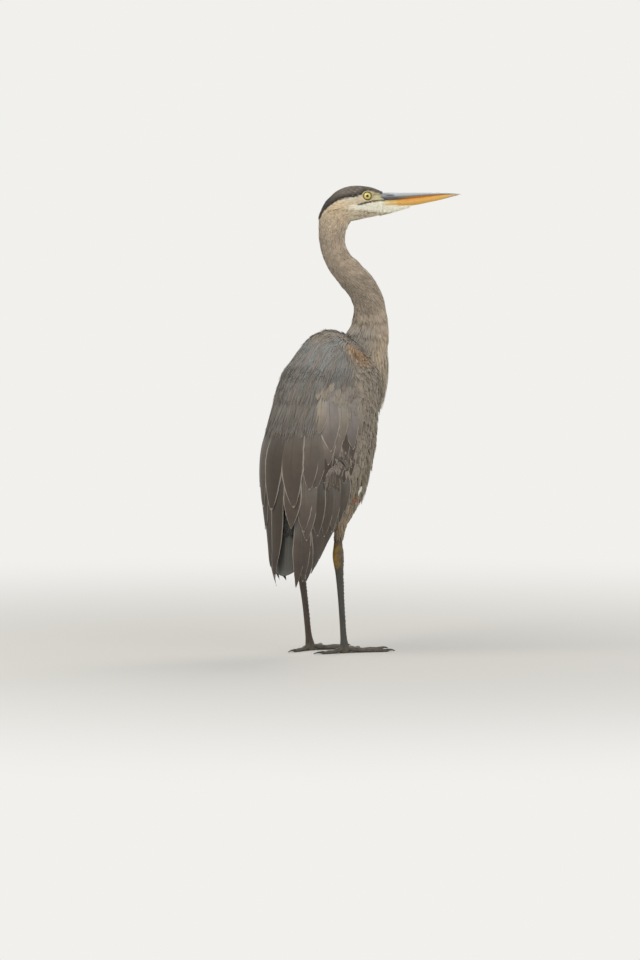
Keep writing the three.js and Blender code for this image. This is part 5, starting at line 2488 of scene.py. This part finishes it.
@dataclass
class Wing(Coat):
    """One closed wing: rows of large feathers, with coverts over their roots."""

    quills: QuillMaker
    name: str
    bottom: float = 322.0
    top: float = 578.0
    inner: float = 0.35
    outer: float = 2.5
    spacing: float = 4.4
    looser_behind: float = 3.0
    depth: float = 3.4
    seed: int = 111

    def coverts(self) -> Roots:
        """Plants the small and middle coverts between the mantle and the wing's front edge.

        Returns:
            The feathers.
        """
        side = SIDES[self.name]
        span = (self.inner, self.outer) if side > 0 else (-self.outer, -self.inner)
        along, angle = scatter(
            BIRD, self.bottom, self.top, lambda p: self.spacing + self.looser_behind * ease(15, -45, p[:, 0]),
            self.seed + side, span,
        )
        past = np.degrees(np.abs(angle))
        under_mantle = along > 505 + 40 * ease(60, 96, past) + 40 * ease(98, 112, past)
        above = along > 450 - 14 * ease(60, 90, past)
        ahead = (past > 84 + 0.06 * (along - 330)) & (along > 332 + 1.1 * (104 - past))
        keep = (BIRD.at(along, angle)[:, 0] < WING_EDGE.first(along) - 2) & ~under_mantle & (above | ahead)
        keep &= past > 30 + 18 * ease(490, 470, along)
        rows = plant(
            BIRD, along[keep], angle[keep], self.way, self.size, self.marks.wing, self.depth, 1.1,
            self.seed + side, 0.09,
        )
        return Roots.joined([rows, *self.tuft(side)])

    def tuft(self, side: int) -> list[Roots]:
        """Plants the loose downy tuft under the greater coverts, with scaly small coverts ahead of it.

        Args:
            side: 1 on the left wing and -1 on the right.

        Returns:
            One group of feathers a layer.
        """
        rng, groups = np.random.default_rng(self.seed + 4 + side), []
        # Each layer: count, middle and half spread in degrees, top height, arch, fall, width, length, depth, tones.
        layers = (
            (84, 79, 13, 378, 0, 30, 6.4, 15, 0.9, ("brown", "covert", "lesser", "mauve")),
            (60, 66, 9, 343, 10, 15, 3.8, 27, -1.2, ("brown", "covert", "mauve_dark", "mauve")),
            (60, 65, 7.5, 345, 8, 9, 3.6, 14, -2.2, ("lesser", "mauve_pale", "lesser", "mauve")),
        )
        for count, middle, spread, top, arch, fall, width, length, depth, tones in layers:
            turn = rng.uniform(-1, 1, count)
            along = top - arch * turn**2 - fall * rng.uniform(0, 1, count)
            angle = side * np.radians(middle + spread * turn)
            tint = np.array([COLOURS[tones[i]] for i in rng.integers(0, len(tones), count)])
            lean = np.sin(np.radians(4 + 22 * turn) * side * 0.6)[:, None]
            groups.append(plant(
                BIRD, along, angle, lambda spot: spot.around * lean - np.array([0.0, 0.0, 1.0]),
                always(width, length, 0.6), lambda _: tint, depth, 1.1, self.seed + 5 + side, 0.1,
            ))
        return groups

    def way(self, spot: Spot) -> Array:
        """Points coverts down, and a little backwards near the front edge."""
        return stack(-0.35 * ease(70, 105, np.degrees(np.abs(spot.angle))), 0.0, -1.0)

    def size(self, spot: Spot) -> Array:
        """Sizes coverts: small along the wing's front edge and larger behind it."""
        back = ease(30, -45, spot.point[:, 0])
        return stack(6.6 + 5.4 * back, 18 + 18 * back, 0.5)

    def build(self) -> dict[str, Object]:
        """Builds the wing's coats by the solids that they stand for.

        Returns:
            The coats, by the names of their rows.
        """
        name, side, made = self.name, SIDES[self.name], {}
        for row, quills, finish, strength in (
            ("primaries", PRIMARIES + INNER_PRIMARIES[name], "Flight_feather_vanes", 0.6),
            ("secondaries", SECONDARIES + TERTIALS + INNER_TERTIALS[name], "Broad_wing_feather_vanes", 0.8),
            ("greater_coverts", GREATER_COVERTS, "Greater_covert_vanes", 1.0),
        ):
            material, seed = quill_finish(finish, strength), self.seed + 9 + side
            made[row] = self.quills.build(f"{row}_{name}", quills, side, material, seed)
        small = FeatherFinish(
            "Small_covert_vanes", shaft=0.25, streak=0.15, contrast=0.22, barbs_per_length=20, edge_strength=0.4,
            edge="#aca08e", edge_from=0.55, tip_from=0.84,
        ).build()
        made["coverts"] = self.maker.coat(f"coverts_{name}", self.coverts(), Vane.COVERT, small)
        return made


@dataclass
class Tail:
    """Six pairs of square-ended tail feathers closed into a narrow fan."""

    quills: QuillMaker
    count: int = 12
    top: float = 300.0
    tip: float = 143.0
    half_width: float = 31.0
    width: float = 22.0
    back: float = -114.2

    def build(self) -> Object:
        """Builds the fan, whose middle pair lies on top.

        Returns:
            The fan.
        """
        shells, maps, cells, count = [], [], [], self.count
        u, s = np.meshgrid(QuillMaker.columns, 1 - (1 - np.linspace(0, 1, 22)) ** 1.4)
        uv = stack(u / 2 + 0.5, s).reshape(-1, 2)
        past = np.clip((s - 0.86) / 0.14, 0, 1)
        half = self.width / 2 * (0.5 + 0.5 * ease(0, 0.5, s)) * np.sqrt(np.maximum(1 - past**2.6, 0)) + 0.05
        for i in range(count):
            place = (i + 0.5) / count * 2 - 1
            y = place * (self.half_width - self.width / 2) * (0.55 + 0.45 * s) + u * half
            z = self.top + (self.tip + 7 * abs(place) ** 2 - self.top) * s
            x = self.back + 5.2 * abs(place) + 0.5 * u * np.sign(place) + 0.5 * np.abs(u) ** 2
            shells.append(slab(stack(x - 0.3 * (np.abs(u) < 0.1), y, z), stack(x + 0.5, y, z)))
            maps += [uv, uv]
            cells += [(np.array([i + start, 0.02]) + uv * [0.45, 0.95]) / [count, 1] for start in (0, 0.5)]
        points = np.vstack([points for points, _ in shells])
        tints = COLOURS["tail"] * (1 + 0.08 * ripple(points, 24, 133)[:, None])
        changes = {"shaft": 0.4, "contrast": 0.12, "edge": "#8b8d8a", "edge_from": 0.86, "tip_from": 0.9, "bump": 0.35}
        material = quill_finish("Tail_feather_vanes", 0.3, **changes)
        return self.quills.finished("tail_fan", shells, tints, maps, cells, material)


# ---------------------------------------------------------------- bill, eyes, claws and scutes


@dataclass
class Bill:
    """The long dagger bill: a slate upper half with a nostril groove, and a yellow lower half."""

    placing: Placing
    rings: int = 110
    around: int = 48
    start: float = 16.0
    upper_tip: float = 170.0
    lower_tip: float = 166.0
    shut: float = 1.1
    groove: float = 0.75
    nostril: float = 1.0

    def upper_tint(self, x: Array, height: Array, fine: Array) -> Array:
        """Tints the upper half: slate at the base, orange low down towards the tip, under a pale ridge that is a
        painted highlight.

        Args:
            x: places along the head.
            height: shares of the height there, from the bottom edge to the top.
            fine: a soft random value for each place.

        Returns:
            The linear colours, one a place.
        """
        slit = np.exp(-(((height - 0.62) / 0.1) ** 2)) * ease(33, 36, x) * ease(50, 46, x)
        return washed(
            "#85888a",
            ("#5d5b62", ease(0.62, 0.3, height) * ease(86, 44, x)),
            ("#8a6f5c", ease(0.5, 0.3, height) * ease(48, 80, x) * 0.8),
            ("#d39a4e", ease(0.34, 0.1, height) * ease(56, 88, x)),
            # The pale ridge is a painted reflection along the top of the bill.
            ("#b4bbbc", ease(0.42, 0.72, height) * ease(30, 52, x) * 0.85),
            ("#b5a98c", ease(0.5, 0.9, fine) * 0.25),
            ("#aeb0a4", ease(150, 166, x) * 0.8),
            ("#23211f", slit * 0.85),
            ("lore", ease(27, 19, x) * ease(0.85, 0.55, height)),
        )

    def lower_tint(self, x: Array, height: Array, fine: Array) -> Array:
        """Tints the lower half: pale at the base, orange in the middle and dull at the tip.

        Args:
            x: places along the head.
            height: shares of the height there, from the bottom edge to the top.
            fine: a soft random value for each place.

        Returns:
            The linear colours, one a place.
        """
        return washed(
            "#dfae52",
            ("#dd9a45", ease(0.35, 0.9, height) * ease(50, 74, x) * ease(150, 100, x)),
            ("#e6d9a8", ease(60, 30, x) * 0.85),
            ("#bdb091", ease(132, 162, x) * 0.9),
            ("#c98c3f", ease(0.3, 0.9, fine) * 0.3),
        )

    def half(self, name: str, size: Stations, start: float, end: float, upper: bool) -> Object:
        """Lofts one half of the bill.

        Args:
            name: the piece's name.
            size: its stations.
            start: where it starts along the head.
            end: where its tip is.
            upper: whether it is the upper half.

        Returns:
            The half, with its tint and the map "Horn".
        """
        if not upper:
            # The lower half's top edges rise inside the upper half, so that the bill shuts without a gap.
            size = Stations(np.column_stack([size.places, size.values + [self.shut, 0, 0]]))
        along = start + (end - start) * (1 - (1 - np.linspace(0, 1, self.rings)) ** 1.25)
        grid, turn = lattice(along, circle(self.around))
        lift = np.zeros_like(grid)
        if upper:
            # The groove runs forward from the nostril, a third of the way down the side.
            deep = np.exp(-(((np.cos(turn) - 0.28) / 0.16) ** 2)) * (np.abs(np.sin(turn)) > 0.3)
            lift -= self.groove * deep * ease(26, 34, grid) * ease(112, 60, grid)
            lift -= self.nostril * deep * np.exp(-(((grid - 40) / 6) ** 2))
        points, faces = tube(HeadForm(size, start, end, 0, 6, 1.8).lifted(grid, turn, lift))
        made = mesh_object(name, self.placing.metres(points), faces)
        x, y, z = in_head(points).T
        tops = size(x)
        height = (z - tops[:, 1]) / np.maximum(tops[:, 0] - tops[:, 1], 0.4)
        tint = self.upper_tint if upper else self.lower_tint
        set_colour(made, tint(x, height, ripple(points, 14, 141)))
        write_map(made, "Horn", stack((np.arctan2(y, z - tops.mean(-1)) / TURN) % 1, x / self.upper_tip))
        made.data.materials.append(HornFinish("Bill_horn").build())
        return made

    def build(self) -> tuple[Object, Object]:
        """Builds the upper and the lower half."""
        upper = self.half("bill_upper_horn", UPPER_BILL, self.start, self.upper_tip, True)
        return upper, self.half("bill_lower_horn", LOWER_BILL, self.start, self.lower_tip, False)


@dataclass
class Eyes:
    """Two round eyes, whose rings of vertices follow the pupil and the iris."""

    placing: Placing
    around: int = 48
    cornea: float = 0.35
    cornea_reach: float = 0.7

    def build(self, side: int, name: str, material: Material) -> Object:
        """Builds one eye with the map "Iris": the angle from its axis and the turn round it.

        Args:
            side: 1 for the left eye and -1 for the right.
            name: the eye's name.
            material: its finish.

        Returns:
            The eye.
        """
        rings = [1.5, 6, 11, 15, 17.5, 20, 25, 31, 37, 43, 47, 49, 52, 60, 72, 90, 110, 135, 160, 178]
        slope, turn = lattice(np.radians(rings), circle(self.around))
        bulge = EYE_RADIUS + self.cornea * np.exp(-((slope / self.cornea_reach) ** 2))
        x, z = np.sin(slope) * np.cos(turn) * bulge, np.sin(slope) * np.sin(turn) * bulge
        points, faces = tube(head_point(stack(x, side * np.cos(slope) * bulge + side * EYE_OUT, z)))
        made = mesh_object(f"{name}_ball", self.placing.metres(points), faces if side > 0 else turned(faces))
        iris = stack(np.append(slope, [0, math.pi]) / math.pi, np.append(turn, [0, 0]) / TURN)
        write_map(made, "Iris", iris)
        made.data.materials.append(material)
        return made


@dataclass
class LegScutes(Coat):
    """Overlapping plates down the front of the shanks and along the tops of the toes."""

    shank_plate: float = 5.6
    shank_step: float = 4.4
    shank_depth: float = 0.85
    toe_plate: float = 4.0
    toe_step: float = 3.4
    toe_depth: float = 0.34
    thickness: float = 0.22
    seed: int = 151

    def build(self, name: str, material: Material) -> Object:
        """Builds one leg's plates.

        Args:
            name: "left" or "right".
            material: their finish.

        Returns:
            The plates as one object.
        """
        plan, groups = LEGS[name], []
        jobs = [(plan.shin(), 0.16, 0.84, self.shank_plate, self.shank_step, self.shank_depth)]
        jobs += [(toe, 0.12, 0.96, self.toe_plate, self.toe_step, self.toe_depth) for toe in plan.toes()]
        for form, low, high, length, step, depth in jobs:
            span = np.linalg.norm(np.diff(form.line(np.linspace(low, high, 60)), axis=0), axis=-1).sum()
            along = np.linspace(low, high, int(span / step))
            sizes = stack(form.size.first(along) * 1.5, length, self.thickness)
            angle = self.facing_front(form, along) if form is jobs[0][0] else np.zeros(len(along))
            roots = plant(
                form, along, angle, lambda spot: spot.ahead, lambda _: sizes, self.marks.leg, depth, 0.15,
                self.seed, 0.004,
            )
            roots.colour *= 1.12
            groups.append(roots)
        return self.maker.coat(f"scutes_{name}", Roots.joined(groups), Vane.SCUTE, material)

    def facing_front(self, form: Limb, along: Array) -> Array:
        """Finds the angle round a limb that faces forward."""
        tries = circle(72)
        return tries[np.argmax(form.at(*lattice(along, tries))[..., 0], axis=1)]


@dataclass
class Claws:
    """Dark curved claws, one to a toe."""

    placing: Placing
    rings: int = 16
    around: int = 14

    def build(self, form: Limb, name: str, material: Material) -> Object:
        """Builds one claw, tapered to a blunt point.

        Args:
            form: the claw's form.
            name: the claw's name.
            material: its finish.

        Returns:
            The claw.
        """
        share, turn = lattice(np.linspace(0, 1, self.rings), np.arange(self.around) / self.around)
        points, faces = tube(form.rings(share[:, 0], self.around))
        points[:, 2] = np.maximum(points[:, 2], 0.02)
        made = mesh_object(f"{name}_horn", self.placing.metres(points), faces)
        share, turn = np.append(share, [0, 1]), np.append(turn, [0, 0])
        set_colour(made, washed("#3b342c", ("#1d1a17", share)))
        write_map(made, "Horn", stack(turn, share))
        made.data.materials.append(material)
        return made


# ---------------------------------------------------------------- studio


@dataclass
class Studio:
    """A plain pale floor, soft lamps and the camera."""

    placing: Placing
    azimuth: float = -45.0
    elevation: float = 4.0
    distance: float = 12.0
    floor_half: float = 60.0
    lens: float = 250.0
    sensor: float = 36.0
    aim_height: float = 310.0
    aim_aside: float = 12.6

    def place(self, name: str, data: bpy.types.ID, at: Vector, away: Vector) -> Object:
        """Puts a lamp or camera somewhere, facing away from a direction.

        Args:
            name: the object's name.
            data: the lamp or camera.
            at: where it stands, in metres.
            away: the direction that it faces away from.

        Returns:
            The object.
        """
        made = linked(name, data)
        made.matrix_world = Matrix.Translation(at) @ away.to_track_quat("Z", "Y").to_matrix().to_4x4()
        return made

    def camera(self) -> None:
        """Sets the camera behind the bird's right shoulder, far off and narrow."""
        az, el = math.radians(self.azimuth), math.radians(self.elevation)
        back = Vector((math.sin(az) * math.cos(el), -math.cos(az) * math.cos(el), math.sin(el)))
        aside = self.aim_aside * 0.7071
        aim = Vector(self.placing.metres(np.array([-aside, aside, self.aim_height])).tolist())
        data = bpy.data.cameras.new("camera")
        data.lens, data.sensor_width, data.sensor_height = self.lens, self.sensor, self.sensor
        data.sensor_fit = "VERTICAL"
        data.clip_end = 100
        bpy.context.scene.camera = self.place("camera", data, aim + back * self.distance, back)

    def lamp(self, name: str, at: tuple[float, float, float], size: float, power: float, colour: str) -> None:
        """Adds a soft square lamp that faces the bird's middle.

        Args:
            name: the lamp's name.
            at: where it stands, in metres.
            size: the length of its side in metres.
            power: its power in watts.
            colour: its colour.
        """
        data = bpy.data.lights.new(name, "AREA")
        data.shape, data.size, data.energy, data.color = "SQUARE", size, power, linear(colour)
        self.place(name, data, Vector(at), Vector(at) - Vector((0, 0, 0.45)))

    def build(self) -> None:
        """Builds the floor, the lamps, the world and the camera."""
        corners = np.array([[-1, -1, 0], [1, -1, 0], [1, 1, 0], [-1, 1, 0]]) * self.floor_half
        floor = mesh_object("floor", corners, [[0, 1, 2, 3]], smooth=False)
        floor.data.materials.append(FloorFinish().build())
        self.lamp("key", (-2.8, 0.6, 3.0), 3.2, 84, "#fff9ee")
        self.lamp("fill", (-0.6, -3.6, 1.6), 3.2, 40, "#fbfbff")
        self.lamp("rim", (2.6, 0.6, 3.0), 2.4, 62, "#fffaf0")
        world = bpy.data.worlds.new("studio_air")
        bpy.context.scene.world = world
        world.use_nodes = True
        air = Shading(world.node_tree)
        seen = air.plainly_seen()
        colour, strength = air.mixed(seen, linear("#e6eaee"), linear("#f1f0ed")), air.spread(seen, 0.32, 0.68)
        feed(air.tree, air.tree.nodes["Background"], Color=colour, Strength=strength)
        self.camera()
        bpy.context.scene.view_settings.view_transform = "Standard"


# ---------------------------------------------------------------- the whole bird

FLESH = ("trunk", "neck_lower", "neck_middle", "neck_upper", "head", "thigh_left", "thigh_right")
WING_SLOTS = {
    "primaries": "primary_feathers", "secondaries": "flight_feathers", "greater_coverts": "covert_feathers",
    "coverts": "covert_feathers",
}


def ride(piece: Object, slot: str, *nodes: str) -> None:
    """Hands a piece over: it rides on the one body and stands for some solids, which are hidden.

    Args:
        piece: the piece.
        slot: the name of its slot; not used.
        *nodes: the solids that it stands for.
    """
    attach(piece, "root")
    if nodes:
        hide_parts(*nodes)
    LOG.info("piece %s", piece.name)


def dress(placing: Placing) -> None:
    """Builds every piece of the bird.

    Args:
        placing: where the bird's own frame lies.
    """
    marks = Markings()
    bare = [f"shin_{side}" for side in SIDES]
    bare += [f"toe_{toe.name.lower()}_{side}" for side in SIDES for toe in Toe]
    ride(Skin(placing, marks).build(), "belly_feathers", *FLESH, *bare)
    maker, quills = Plumassier(placing), QuillMaker(placing)
    ride(HeadCoat(maker, marks).build(), "head_feathers")
    for piece in NeckCoat(maker, marks).build():
        ride(piece, "neck_feathers")
    for piece, nodes in zip(Mantle(maker, marks).build(), (("mantle",), (), ())):
        ride(piece, "back_feathers", *nodes)
    for piece, slot in zip(Underparts(maker, marks).build(), ("belly_feathers", "belly_feathers", "tail_feathers")):
        ride(piece, slot)
    for piece in Thighs(maker, marks).build():
        ride(piece, "belly_feathers")
    ride(BreastPlumes(maker, marks).build(), "breast_feathers", "breast_plumes")
    for side in SIDES:
        for row, piece in Wing(maker, marks, quills, side).build().items():
            ride(piece, WING_SLOTS[row], *(() if row == "greater_coverts" else (f"wing_{side}_{row}",)))
    ride(Tail(quills).build(), "tail_feathers", "tail")
    upper, lower = Bill(placing).build()
    ride(upper, "upper_bill_horn", "bill_upper")
    ride(lower, "lower_bill_horn", "bill_lower")
    wet = EyeFinish().build()
    scutes = ScaleFinish("Leg_scutes", 0.006).build()
    claw = HornFinish("Claw_horn", roughness=0.4).build()
    for name, side in SIDES.items():
        ride(Eyes(placing).build(side, f"eye_{name}", wet), "eye", f"eye_{name}")
        ride(LegScutes(maker, marks).build(name, scutes), "leg_skin")
        for toe in Toe:
            node = f"claw_{toe.name.lower()}_{name}"
            ride(Claws(placing).build(LEGS[name].claw(toe), node, claw), "claw_horn", node)


def main() -> None:
    """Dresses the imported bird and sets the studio."""
    logging.basicConfig(level=logging.INFO, format="%(message)s")
    for thing in list(bpy.data.objects):
        bpy.data.objects.remove(thing)
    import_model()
    eyes = [np.mean([np.array(c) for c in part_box(f"eye_{side}")], axis=0) for side in SIDES]
    placing = Placing(tuple((np.mean(eyes, axis=0) - EYES_AT * 0.001).tolist()))
    LOG.info("shift %s", placing.shift)
    dress(placing)
    Studio(placing).build()


if __name__ == "__main__":
    main()
